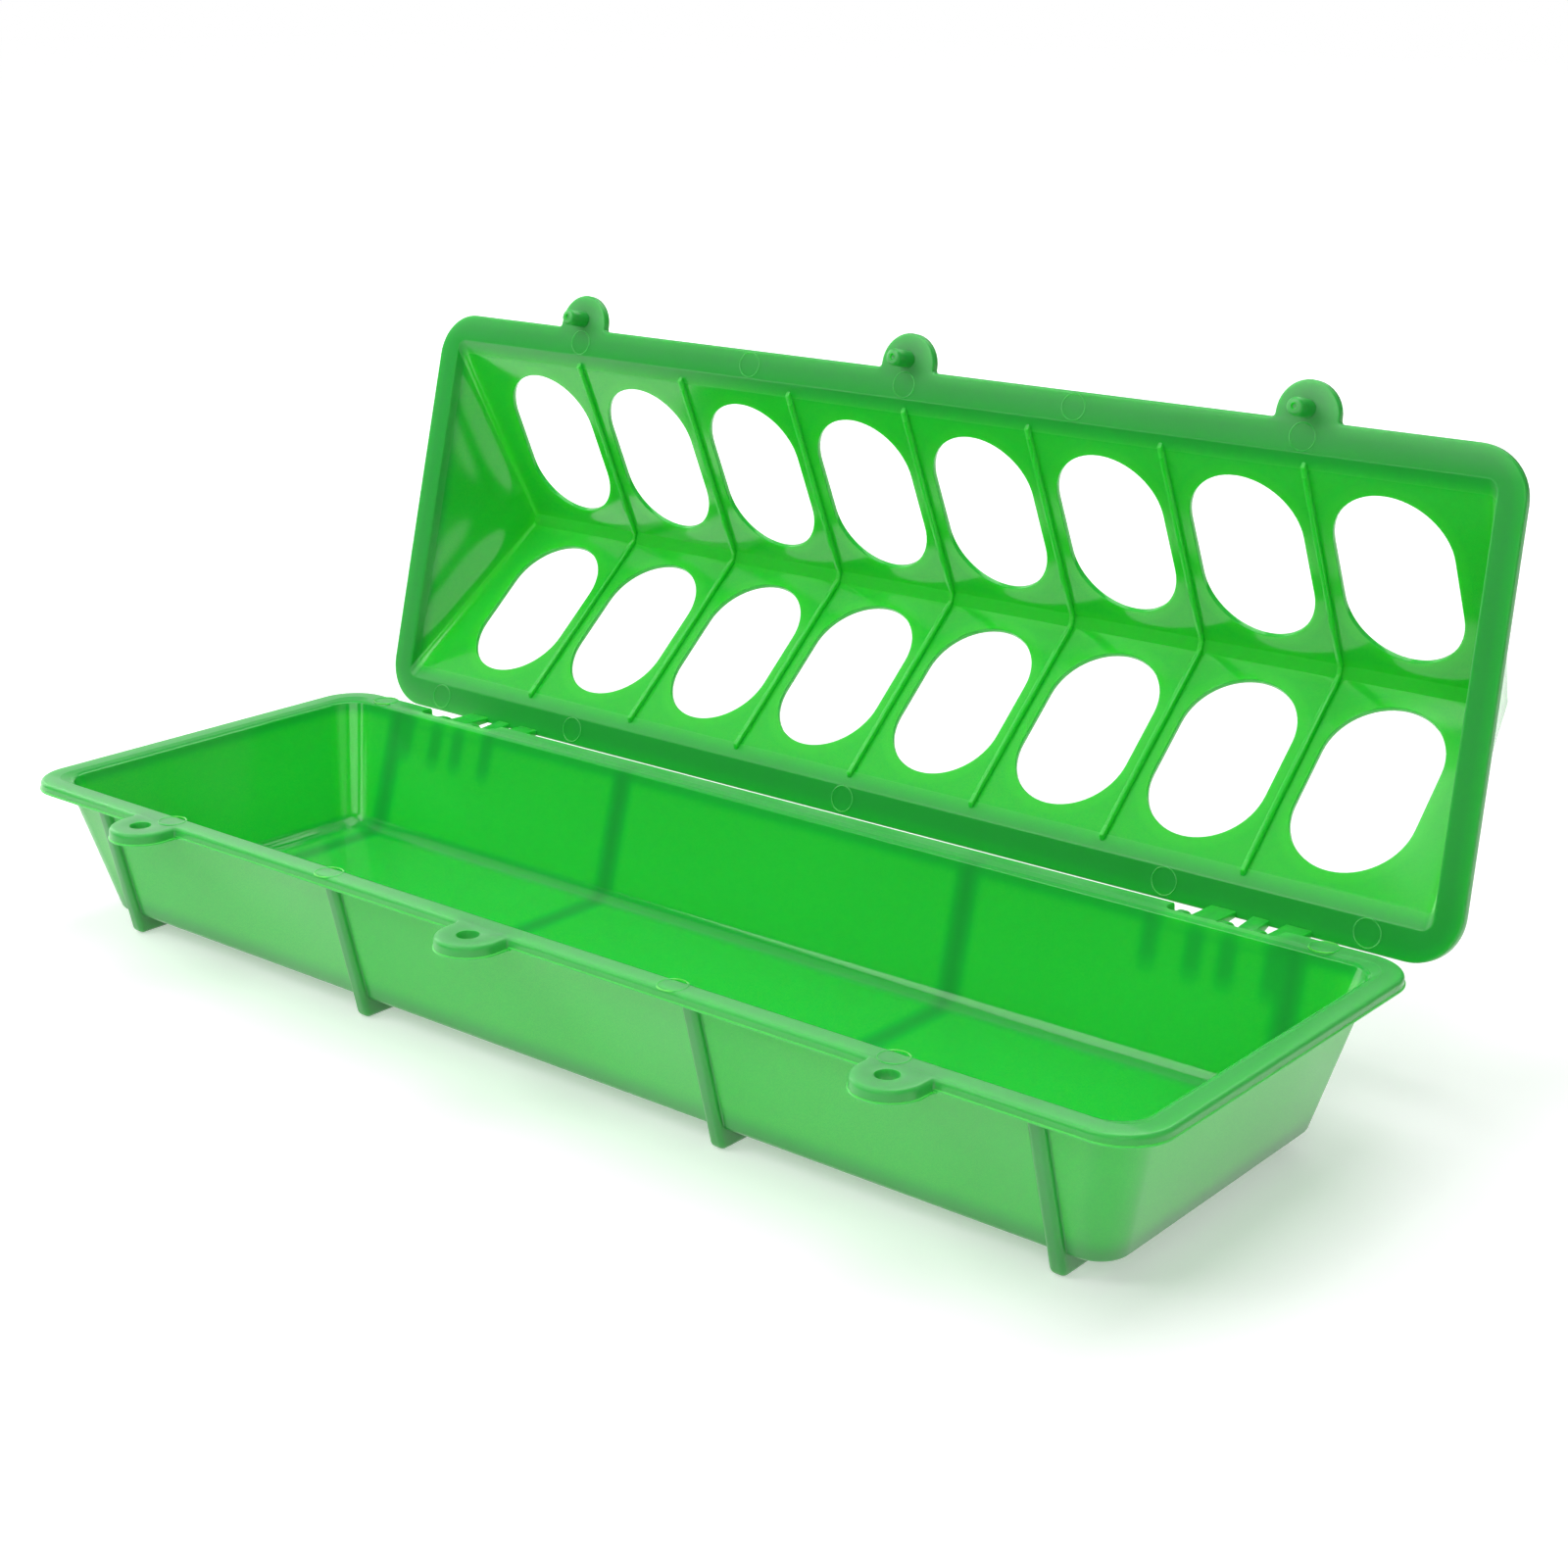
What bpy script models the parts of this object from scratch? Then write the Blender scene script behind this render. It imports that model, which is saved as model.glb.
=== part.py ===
"""Flip-top poultry feeder: a moulded trough and a moulded gable lid with sixteen feeding holes.

The lid clips on two pins behind the trough's rim, and three pegs on its front edge press into
three eyes on the trough. The lid is built closed over the trough, then swung open on the pins.
Sizes are in metres. X runs along the trough, Y to the hinge side, Z up.
"""
import math

import bmesh
import bpy

# Trough: outline, heights and walls
RIM_LENGTH = 0.300
RIM_WIDTH = 0.100
RIM_HEIGHT = 0.0352
RIM_THICKNESS = 0.0022
RIM_CORNER_RADIUS = 0.0103
RIM_EDGE_RADIUS = 0.0009
RIM_FACE_WIDTH = 0.0044
RIM_INNER_RADIUS = 0.0004
RIM_INNER_SWEEP = math.radians(30)
LEDGE_DROP = 0.0006
WALL_INSET = 0.0053
WALL_THICKNESS = 0.0014
SIDE_DRAFT = math.radians(15.2)
END_DRAFT = math.radians(16.5)
WALL_CORNER_RADIUS = 0.0082
FLOOR_CORNER_RADIUS = 0.0064
FLOOR_THICKNESS = 0.0015
FLOOR_FILLET = 0.0012
INSIDE_FILLET = 0.0022

# Trough: ribs that run down the walls and under the floor as feet
FOOT_HEIGHT = 0.0040
FOOT_CORNER_RADIUS = 0.0017
RIB_WIDTH = 0.0034
RIB_LAND = 0.0012
RIB_PROUD = 0.0016
RIB_SPACING = 0.0990
OUTER_RIB_FROM_END = 0.0238

# Eyes on the trough's front rim, and the ears and pegs of the lid above them
EYE_FROM_END = 0.0484
EYE_RADIUS = 0.0073
EYE_CENTRE_REACH = 0.0028
EYE_THICKNESS = 0.0026
EAR_RADIUS = 0.0073
EAR_CENTRE_REACH = 0.0011
TAB_ROOT = 0.0030
EYE_FLARE = 0.0003
EAR_FLARE = 0.0008
PEG_REACH = 0.0034
PEG_RADIUS = 0.00195
PEG_LENGTH = 0.0060
PEG_DOME_SWEEP = math.radians(75)
PEG_CLEARANCE = 0.0003

# Hinge stations: pin, knuckles, hooks and the notch that they pass through
HINGE_FROM_END = 0.0418
PIN_BACK = 0.0043
PIN_DROP = 0.0069
PIN_RADIUS = 0.0015
KNUCKLE_RADIUS = 0.0034
KNUCKLE_THICKNESS = 0.0018
KNUCKLE_ROOT_RISE = 0.0049
KNUCKLE_ROOT_DROP = 0.0048
KNUCKLE_SIDE_GAP = 0.0010
END_KNUCKLE_GAP = 0.0013
NOTCH_SIDE_GAP = 0.0011
NOTCH_WALL_GAP = 0.0007
NOTCH_CORNER_RADIUS = 0.0016
HOOK_THICKNESS = 0.0014
HOOK_CLEARANCE = 0.0003
HOOK_EDGE_SETBACK = 0.0001
OUTER_HOOK_WIDTH = 0.0059
MIDDLE_HOOK_WIDTH = 0.0038
OUTER_HOOK_WRAP = (math.radians(150), math.radians(330))
MIDDLE_HOOK_WRAP = (math.radians(150), math.radians(-110))
MIDDLE_HOOK_JOIN = math.radians(100)

# Lid: flange and gable roof
LID_SIDE_OVERHANG = 0.0011
LID_END_OVERHANG = 0.0007
LID_CORNER_RADIUS = 0.0110
FLANGE_THICKNESS = 0.0022
FLANGE_EDGE_FLAT = 0.0012
FLANGE_FACE_WIDTH = 0.0068
FLANGE_END_WIDTH = 0.0059
FLANGE_REST_GAP = 0.0003
ROOF_THICKNESS = 0.0012
ROOF_SLOPE = math.radians(36.5)
ROOF_END_LEAN = math.radians(11.5)
ROOF_CORNER_RADIUS = 0.0028
ROOF_ROOT_RADIUS = 0.0010
RIDGE_HALF_WIDTH = 0.0015
RIDGE_END_FLAT = 0.0010
OPEN_ANGLE = math.radians(102.9)

# Lid: feeding holes and the stiffening ribs between them
HOLES_PER_SIDE = 8
HOLE_WEB = 0.0070
HOLE_END_MARGIN = 0.0124
HOLE_FOOT_MARGIN = 0.0080
HOLE_RIDGE_MARGIN = 0.0043
ROOF_RIB_WIDTH = 0.0011
ROOF_RIB_PROUD = 0.0011
ROOF_RIB_FOOT_GAP = 0.0018

# Overlap of joined solids, and the overrun of the cuts
FUSE_DEPTH = 0.0006
CUT_OVERRUN = 0.0020

# Facets of the curved surfaces
CORNER_STEPS = 8
FILLET_STEPS = 4
EDGE_STEPS = 3
CREST_STEPS = 4
ROUND_STEPS = 24
ARC_STEPS = 10
HOLE_END_STEPS = 6

MERGE_DISTANCE = 0.000002
SMOOTH_ANGLE = math.radians(35)
PLASTIC_GREEN = (0.075, 0.420, 0.095, 1.0)
PLASTIC_ROUGHNESS = 0.38

# Worked out from the sizes above
RIM_BOTTOM = RIM_HEIGHT - RIM_THICKNESS
WALL_TOP_HALF_WIDTH = RIM_WIDTH / 2 - WALL_INSET
WALL_TOP_HALF_LENGTH = RIM_LENGTH / 2 - WALL_INSET
PIN_Y = RIM_WIDTH / 2 + PIN_BACK
PIN_Z = RIM_HEIGHT - PIN_DROP
PEG_Y = -RIM_WIDTH / 2 - PEG_REACH
LID_UNDERSIDE = RIM_HEIGHT + FLANGE_REST_GAP
LID_LENGTH = RIM_LENGTH + 2 * LID_END_OVERHANG
LID_WIDTH = RIM_WIDTH + 2 * LID_SIDE_OVERHANG
ROOF_FOOT_HALF_LENGTH = LID_LENGTH / 2 - FLANGE_END_WIDTH
ROOF_FOOT_HALF_WIDTH = LID_WIDTH / 2 - FLANGE_FACE_WIDTH
SLOPE_LENGTH = (ROOF_FOOT_HALF_WIDTH - RIDGE_HALF_WIDTH) / math.cos(ROOF_SLOPE)
HOLE_PITCH = 2 * (ROOF_FOOT_HALF_LENGTH - HOLE_END_MARGIN + HOLE_WEB / 2) / HOLES_PER_SIDE
HOLE_WIDTH = HOLE_PITCH - HOLE_WEB
HOLE_LENGTH = SLOPE_LENGTH - HOLE_FOOT_MARGIN - HOLE_RIDGE_MARGIN
HOOK_INNER_RADIUS = PIN_RADIUS + HOOK_CLEARANCE
HOOK_OUTER_RADIUS = HOOK_INNER_RADIUS + HOOK_THICKNESS
INNER_KNUCKLE_OFFSET = MIDDLE_HOOK_WIDTH / 2 + KNUCKLE_SIDE_GAP + KNUCKLE_THICKNESS / 2
OUTER_HOOK_START = INNER_KNUCKLE_OFFSET + KNUCKLE_THICKNESS / 2 + KNUCKLE_SIDE_GAP
OUTER_HOOK_OFFSET = OUTER_HOOK_START + OUTER_HOOK_WIDTH / 2
OUTER_HOOK_END = OUTER_HOOK_START + OUTER_HOOK_WIDTH
OUTER_KNUCKLE_OFFSET = OUTER_HOOK_END + END_KNUCKLE_GAP + KNUCKLE_THICKNESS / 2
NOTCH_HALF_WIDTH = OUTER_HOOK_END + NOTCH_SIDE_GAP
FLANGE_EDGE_RADIUS = (FLANGE_THICKNESS - FLANGE_EDGE_FLAT) / 2
RIDGE_CORNER_RADIUS = RIDGE_HALF_WIDTH - RIDGE_END_FLAT / 2


def clear_scene():
    """Remove every object that the file holds."""
    for item in list(bpy.data.objects):
        bpy.data.objects.remove(item, do_unlink=True)


def plastic(name):
    """Glossy green injection-moulded plastic."""
    material = bpy.data.materials.new(name)
    material.use_nodes = True
    shader = material.node_tree.nodes["Principled BSDF"]
    shader.inputs["Base Color"].default_value = PLASTIC_GREEN
    shader.inputs["Roughness"].default_value = PLASTIC_ROUGHNESS
    shader.inputs["Metallic"].default_value = 0.0
    material.diffuse_color = PLASTIC_GREEN
    return material


def new_object(name, points, faces):
    """A mesh object with its normals facing out."""
    mesh = bpy.data.meshes.new(name)
    mesh.from_pydata(points, [], faces)
    shape = bmesh.new()
    shape.from_mesh(mesh)
    bmesh.ops.recalc_face_normals(shape, faces=shape.faces)
    shape.to_mesh(mesh)
    shape.free()
    item = bpy.data.objects.new(name, mesh)
    bpy.context.scene.collection.objects.link(item)
    return item


def loft(name, rings):
    """A closed solid through rings of equally many points, with both ends capped."""
    count = len(rings[0])
    points = [point for ring in rings for point in ring]
    faces = [list(range(count))[::-1]]
    for level in range(len(rings) - 1):
        for index in range(count):
            following = (index + 1) % count
            low = level * count
            high = low + count
            faces.append([low + index, low + following, high + following, high + index])
    last = (len(rings) - 1) * count
    faces.append(list(range(last, last + count)))
    return new_object(name, points, faces)


def extrude_along_x(name, outline, centre, width):
    """A prism whose outline is a list of (y, z) points."""
    rings = [[(x, y, z) for y, z in outline] for x in (centre - width / 2, centre + width / 2)]
    return loft(name, rings)


def extrude_along_z(name, outline, bottom, top):
    """A prism whose outline is a list of (x, y) points."""
    rings = [[(x, y, z) for x, y in outline] for z in (bottom, top)]
    return loft(name, rings)


def arc(centre, radius, start, end, steps):
    """Points of an arc in a plane."""
    angles = [start + (end - start) * step / steps for step in range(steps + 1)]
    return [(centre[0] + radius * math.cos(a), centre[1] + radius * math.sin(a)) for a in angles]


def rounded_rectangle(half_length, half_width, radius, z):
    """A ring of points at one height, counter-clockwise seen from above."""
    points = []
    quarter = math.pi / 2
    for turn, (side_x, side_y) in enumerate(((1, 1), (-1, 1), (-1, -1), (1, -1))):
        centre = (side_x * (half_length - radius), side_y * (half_width - radius))
        corner = arc(centre, radius, turn * quarter, (turn + 1) * quarter, CORNER_STEPS)
        points += [(x, y, z) for x, y in corner]
    return points


def apply_boolean(target, tool, operation):
    """Join or cut the target with the tool, and remove the tool."""
    modifier = target.modifiers.new(operation.lower(), "BOOLEAN")
    modifier.solver = "EXACT"
    modifier.operation = operation
    modifier.object = tool
    bpy.context.view_layer.update()
    graph = bpy.context.evaluated_depsgraph_get()
    mesh = bpy.data.meshes.new_from_object(target.evaluated_get(graph))
    target.modifiers.clear()
    old_mesh = target.data
    target.data = mesh
    mesh.name = target.name
    bpy.data.meshes.remove(old_mesh)
    bpy.data.objects.remove(tool, do_unlink=True)


def add(target, tools):
    for tool in tools:
        apply_boolean(target, tool, "UNION")


def cut(target, tools):
    for tool in tools:
        apply_boolean(target, tool, "DIFFERENCE")


def drop_folds(shape):
    """Remove the pairs of triangles that a closed-up sliver leaves back to back."""
    same_corners = {}
    for face in shape.faces:
        same_corners.setdefault(frozenset(face.verts), []).append(face)
    folds = [face for faces in same_corners.values() if len(faces) > 1 for face in faces]
    bmesh.ops.delete(shape, geom=folds, context="FACES")


def finish(item, material):
    """Clean the mesh, shade it smooth between its sharp edges, and give it its material."""
    shape = bmesh.new()
    shape.from_mesh(item.data)
    bmesh.ops.dissolve_degenerate(shape, dist=MERGE_DISTANCE, edges=shape.edges)
    bmesh.ops.remove_doubles(shape, verts=shape.verts, dist=MERGE_DISTANCE)
    bmesh.ops.triangulate(shape, faces=shape.faces)
    drop_folds(shape)
    shape.to_mesh(item.data)
    shape.free()
    item.data.shade_smooth()
    item.data.set_sharp_from_angle(angle=SMOOTH_ANGLE)
    item.data.materials.clear()
    item.data.materials.append(material)


# Trough

def wall_half_width(z):
    """Half width of the trough's outer wall at a height."""
    return WALL_TOP_HALF_WIDTH - (RIM_BOTTOM - z) * math.tan(SIDE_DRAFT)


def wall_half_length(z):
    """Half length of the trough's outer wall at a height."""
    return WALL_TOP_HALF_LENGTH - (RIM_BOTTOM - z) * math.tan(END_DRAFT)


def wall_corner_radius(z):
    """The wall's upright corners tighten towards the floor."""
    share = (z - FOOT_HEIGHT) / (RIM_BOTTOM - FOOT_HEIGHT)
    return FLOOR_CORNER_RADIUS + share * (WALL_CORNER_RADIUS - FLOOR_CORNER_RADIUS)


def wall_ring(z, inset):
    """The wall's outline at a height, moved inwards by an inset."""
    radius = max(wall_corner_radius(z) - inset, RIM_EDGE_RADIUS)
    return rounded_rectangle(wall_half_length(z) - inset, wall_half_width(z) - inset, radius, z)


def wall_rings(floor_z, fillet, inset):
    """Rings from the floor's edge up round its fillet to where the straight wall begins."""
    bend = arc((fillet, floor_z + fillet), fillet, -math.pi / 2, -math.pi + SIDE_DRAFT, FILLET_STEPS)
    foot_inset = fillet * (1 - math.cos(SIDE_DRAFT))
    return [wall_ring(z, inset + across - foot_inset) for across, z in bend]


def rim_ring(inset, z):
    """The rim's outline at a height, moved inwards by an inset."""
    half_length = RIM_LENGTH / 2 - inset
    return rounded_rectangle(half_length, RIM_WIDTH / 2 - inset, RIM_CORNER_RADIUS - inset, z)


def trough_body():
    """The trough's shell: outside wall, rim, ledge and inside wall in one loft."""
    inner_floor = FOOT_HEIGHT + FLOOR_THICKNESS
    wall = WALL_THICKNESS / math.cos(SIDE_DRAFT)
    ledge_z = RIM_HEIGHT - LEDGE_DROP
    rings = wall_rings(FOOT_HEIGHT, FLOOR_FILLET, 0.0)
    rings += [wall_ring(RIM_BOTTOM, 0.0), rim_ring(0.0, RIM_BOTTOM)]
    edge_z = RIM_HEIGHT - RIM_EDGE_RADIUS
    edge = arc((RIM_EDGE_RADIUS, edge_z), RIM_EDGE_RADIUS, math.pi, math.pi / 2, EDGE_STEPS)
    rings += [rim_ring(inset, z) for inset, z in edge]
    inner_z = RIM_HEIGHT - RIM_INNER_RADIUS
    end = math.pi / 2 - RIM_INNER_SWEEP
    inner = arc((RIM_FACE_WIDTH, inner_z), RIM_INNER_RADIUS, math.pi / 2, end, EDGE_STEPS)
    rings += [rim_ring(inset, z) for inset, z in inner]
    rings += [wall_ring(ledge_z, wall)]
    rings += wall_rings(inner_floor, INSIDE_FILLET, wall)[::-1]
    return loft("trough", rings)


def rib_stations():
    """Pairs of a base point and a crest point, (y, z), along half a rib from the foot up."""
    crest_offset = RIB_PROUD / math.cos(SIDE_DRAFT)
    centre_z = FOOT_CORNER_RADIUS
    centre_y = wall_half_width(centre_z) + crest_offset - FOOT_CORNER_RADIUS / math.cos(SIDE_DRAFT)
    crest = arc((centre_y, centre_z), FOOT_CORNER_RADIUS, -math.pi / 2, -SIDE_DRAFT, CREST_STEPS)
    base_z = FOOT_HEIGHT + FUSE_DEPTH
    wall_base = FUSE_DEPTH / math.cos(SIDE_DRAFT)
    base_y = wall_half_width(base_z) - wall_base - FLOOR_FILLET
    stations = [((base_y, base_z), point) for point in crest]
    lift_z = FOOT_HEIGHT + FLOOR_FILLET
    for z in (lift_z, RIM_BOTTOM + FUSE_DEPTH):
        half = wall_half_width(z)
        stations.append(((half - wall_base, z), (half + crest_offset, z)))
    return stations


def rib_section(x, base, crest):
    """Cross-section of a rib with rounded shoulders beside the flat land on its crest."""
    reach = math.dist(base, crest)
    along = ((crest[0] - base[0]) / reach, (crest[1] - base[1]) / reach)
    land = RIB_LAND / 2
    shoulder = RIB_WIDTH / 2 - land
    profile = [(RIB_WIDTH / 2, 0.0)]
    profile += arc((land, reach - shoulder), shoulder, 0.0, math.pi / 2, CREST_STEPS)
    profile += arc((-land, reach - shoulder), shoulder, math.pi / 2, math.pi, CREST_STEPS)
    profile.append((-RIB_WIDTH / 2, 0.0))
    return [(x + side, base[0] + along[0] * rise, base[1] + along[1] * rise)
            for side, rise in profile]


def trough_rib(x):
    """One rib from the rim's underside down the front, under the floor and up the back."""
    half = rib_stations()
    back = [rib_section(x, base, crest) for base, crest in half]
    front = [rib_section(x, (-base[0], base[1]), (-crest[0], crest[1])) for base, crest in half]
    return loft("trough_rib", front[::-1] + back)


def tab_ring(x, z, inset, radius, flare, centre_y, edge_y):
    """Outline of a half-round tab that flares into an edge, moved inwards by an inset."""
    flare_x = radius + flare
    flare_y = edge_y - flare
    bend = flare + inset
    quarter = math.pi / 2
    root = edge_y + TAB_ROOT
    outline = [(-flare_x, root)] + arc((-flare_x, flare_y), bend, quarter, 0.0, FILLET_STEPS)
    outline += arc((0.0, centre_y), radius - inset, math.pi, 2 * math.pi, ROUND_STEPS // 2)
    outline += arc((flare_x, flare_y), bend, math.pi, quarter, FILLET_STEPS) + [(flare_x, root)]
    return [(x + point_x, y, z) for point_x, y in outline]


def eye_tab(x):
    """Half-round tab with a rounded upper edge that grows out of the trough's front rim."""
    edge_y = -RIM_WIDTH / 2
    centre_y = edge_y - EYE_CENTRE_REACH
    edge = [(0.0, RIM_HEIGHT - EYE_THICKNESS)]
    bend = (RIM_EDGE_RADIUS, RIM_HEIGHT - RIM_EDGE_RADIUS)
    edge += arc(bend, RIM_EDGE_RADIUS, math.pi, math.pi / 2, EDGE_STEPS)
    return loft("eye_tab", [tab_ring(x, z, inset, EYE_RADIUS, EYE_FLARE, centre_y, edge_y)
                            for inset, z in edge])


def ear_tab(x):
    """Half-round tab of the lid's flange, with the flange's rounded edges."""
    edge_y = -LID_WIDTH / 2
    centre_y = edge_y - EAR_CENTRE_REACH
    return loft("ear_tab", [tab_ring(x, z, inset, EAR_RADIUS, EAR_FLARE, centre_y, edge_y)
                            for inset, z in flange_edge()])


def eye_hole(x):
    radius = PEG_RADIUS + PEG_CLEARANCE
    outline = arc((x, PEG_Y), radius, 0.0, 2 * math.pi, ROUND_STEPS)[:-1]
    bottom = RIM_HEIGHT - EYE_THICKNESS - CUT_OVERRUN
    return extrude_along_z("eye_hole", outline, bottom, RIM_HEIGHT + CUT_OVERRUN)


def rim_notch(station):
    """Cut in the back rim that the hooks pass through, with rounded inner corners."""
    inner = WALL_TOP_HALF_WIDTH + NOTCH_WALL_GAP
    outer = RIM_WIDTH / 2 + CUT_OVERRUN
    corner = NOTCH_CORNER_RADIUS
    side = NOTCH_HALF_WIDTH - corner
    outline = [(NOTCH_HALF_WIDTH, outer), (-NOTCH_HALF_WIDTH, outer)]
    outline += arc((-side, inner + corner), corner, math.pi, 1.5 * math.pi, FILLET_STEPS)
    outline += arc((side, inner + corner), corner, 1.5 * math.pi, 2 * math.pi, FILLET_STEPS)
    outline = [(station + x, y) for x, y in outline]
    return extrude_along_z("rim_notch", outline, RIM_BOTTOM - CUT_OVERRUN, RIM_HEIGHT + CUT_OVERRUN)


def knuckle(x):
    """Gusset on the back wall with a round head about the pin."""
    top_z = PIN_Z + KNUCKLE_ROOT_RISE
    foot_z = PIN_Z - KNUCKLE_ROOT_DROP
    wall_base = FUSE_DEPTH / math.cos(SIDE_DRAFT)
    head = arc((PIN_Y, PIN_Z), KNUCKLE_RADIUS, math.pi / 2, -math.pi / 2, ARC_STEPS)
    outline = [(wall_half_width(top_z) - wall_base, top_z)] + head
    outline += [(wall_half_width(foot_z) - wall_base, foot_z)]
    return extrude_along_x("knuckle", outline, x, KNUCKLE_THICKNESS)


def hinge_pin(station):
    """Round bar through the four knuckles of a station."""
    outline = arc((PIN_Y, PIN_Z), PIN_RADIUS, 0.0, 2 * math.pi, ROUND_STEPS)[:-1]
    length = 2 * OUTER_KNUCKLE_OFFSET + KNUCKLE_THICKNESS + FUSE_DEPTH
    return extrude_along_x("hinge_pin", outline, station, length)


def mirrored(offset):
    """The same offset on both sides of a middle."""
    return (-offset, offset)


def eye_places():
    """X of the three eyes, and of the lid's ears and pegs over them."""
    outer = RIM_LENGTH / 2 - EYE_FROM_END
    return (-outer, 0.0, outer)


def hinge_stations():
    """X of the middle of each hinge."""
    return mirrored(RIM_LENGTH / 2 - HINGE_FROM_END)


def build_trough(material):
    trough = trough_body()
    add(trough, [eye_tab(x) for x in eye_places()])
    cut(trough, [eye_hole(x) for x in eye_places()])
    cut(trough, [rim_notch(station) for station in hinge_stations()])
    ribs = mirrored(RIB_SPACING / 2) + mirrored(RIM_LENGTH / 2 - OUTER_RIB_FROM_END)
    add(trough, [trough_rib(x) for x in ribs])
    for station in hinge_stations():
        offsets = mirrored(INNER_KNUCKLE_OFFSET) + mirrored(OUTER_KNUCKLE_OFFSET)
        add(trough, [knuckle(station + offset) for offset in offsets])
        add(trough, [hinge_pin(station)])
    finish(trough, material)
    return trough


# Lid, built closed over the trough

def roof_ring(rise, offset):
    """(half length, half width, radius) of the roof's surface at a rise above its foot."""
    share = min(max(rise / roof_height(), 0.0), 1.0)
    radius = ROOF_CORNER_RADIUS + share * (RIDGE_CORNER_RADIUS - ROOF_CORNER_RADIUS)
    slope_run = rise / math.tan(ROOF_SLOPE)
    end_run = rise * math.tan(ROOF_END_LEAN)
    half_width = ROOF_FOOT_HALF_WIDTH - slope_run + offset / math.sin(ROOF_SLOPE)
    half_length = ROOF_FOOT_HALF_LENGTH - end_run + offset / math.cos(ROOF_END_LEAN)
    return half_length, half_width, radius + offset


def roof_height():
    """Rise of the ridge's inside above the flange's underside."""
    return SLOPE_LENGTH * math.sin(ROOF_SLOPE)


def flange_edge():
    """(inset, z) up the flange's rounded outer edge."""
    bend = FLANGE_EDGE_RADIUS
    low = (bend, LID_UNDERSIDE + bend)
    high = (bend, LID_UNDERSIDE + FLANGE_THICKNESS - bend)
    edge = arc(low, bend, 1.5 * math.pi, math.pi, EDGE_STEPS)
    return edge + arc(high, bend, math.pi, math.pi / 2, EDGE_STEPS)


def lid_body():
    """The lid's shell: inside of the roof, flange and outside of the roof in one loft."""
    half_length = LID_LENGTH / 2
    half_width = LID_WIDTH / 2
    flange_top = LID_UNDERSIDE + FLANGE_THICKNESS
    peak = roof_height()
    rings = [roof_ring(peak, 0.0) + (LID_UNDERSIDE + peak,)]
    rings.append(roof_ring(ROOF_ROOT_RADIUS, 0.0) + (LID_UNDERSIDE + ROOF_ROOT_RADIUS,))
    foot = roof_ring(0.0, ROOF_ROOT_RADIUS * math.tan(ROOF_SLOPE / 2))
    rings.append(foot + (LID_UNDERSIDE,))
    for inset, z in flange_edge():
        rings.append((half_length - inset, half_width - inset, LID_CORNER_RADIUS - inset, z))
    rings.append(roof_ring(FLANGE_THICKNESS, ROOF_THICKNESS) + (flange_top,))
    outer_rise = peak + ROOF_THICKNESS
    rings.append(roof_ring(outer_rise, ROOF_THICKNESS) + (LID_UNDERSIDE + outer_rise,))
    solid = [rounded_rectangle(length, width, radius, z) for length, width, radius, z in rings]
    return loft("lid", solid)


def slope_point(up_slope, lift):
    """(y, z) on the front slope's inside, at a way up the slope and a lift off its face."""
    y = -ROOF_FOOT_HALF_WIDTH + up_slope * math.cos(ROOF_SLOPE) - lift * math.sin(ROOF_SLOPE)
    z = LID_UNDERSIDE + up_slope * math.sin(ROOF_SLOPE) + lift * math.cos(ROOF_SLOPE)
    return y, z


def feeding_hole(x, side):
    """Cutter for one round-ended hole, square to its slope; side 1 is the front slope."""
    radius = min(HOLE_WIDTH, HOLE_LENGTH) / 2
    centre = HOLE_FOOT_MARGIN + HOLE_LENGTH / 2
    quarter = math.pi / 2
    outline = []
    for turn, (side_x, side_y) in enumerate(((1, 1), (-1, 1), (-1, -1), (1, -1))):
        bend = (side_x * (HOLE_WIDTH / 2 - radius), side_y * (HOLE_LENGTH / 2 - radius))
        outline += arc(bend, radius, turn * quarter, (turn + 1) * quarter, HOLE_END_STEPS)
    rings = []
    for lift in (-CUT_OVERRUN, ROOF_THICKNESS + CUT_OVERRUN):
        ring = []
        for across, along in outline:
            y, z = slope_point(centre + along, lift)
            ring.append((x + across, side * y, z))
        rings.append(ring)
    return loft("feeding_hole", rings)


def roof_rib(x):
    """Thin rib under both slopes that follows the ridge."""
    foot = ROOF_RIB_FOOT_GAP
    inner = [slope_point(foot, FUSE_DEPTH), slope_point(foot + ROOF_RIB_PROUD, -ROOF_RIB_PROUD),
             slope_point(SLOPE_LENGTH, -ROOF_RIB_PROUD)]
    outer = [slope_point(SLOPE_LENGTH, FUSE_DEPTH)]
    back = [(-y, z) for y, z in inner]
    outline = inner + back[::-1] + [(-outer[0][0], outer[0][1]), outer[0]]
    return extrude_along_x("roof_rib", outline, x, ROOF_RIB_WIDTH)


def peg(x):
    """Round peg with a domed tip, pointing down."""
    rings = []
    top = LID_UNDERSIDE + FUSE_DEPTH
    dome_z = LID_UNDERSIDE - PEG_LENGTH + PEG_RADIUS
    levels = [(PEG_RADIUS, top)]
    for step in range(EDGE_STEPS + 1):
        angle = PEG_DOME_SWEEP * step / EDGE_STEPS
        levels.append((PEG_RADIUS * math.cos(angle), dome_z - PEG_RADIUS * math.sin(angle)))
    for radius, z in levels:
        circle = arc((x, PEG_Y), radius, 0.0, 2 * math.pi, ROUND_STEPS)[:-1]
        rings.append([(px, py, z) for px, py in circle])
    return loft("peg", rings)


def hook_root():
    """(near, far) y of the hook's root below the flange, measured from the pin."""
    far = LID_WIDTH / 2 - HOOK_EDGE_SETBACK - PIN_Y
    return far - HOOK_THICKNESS, far


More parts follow.
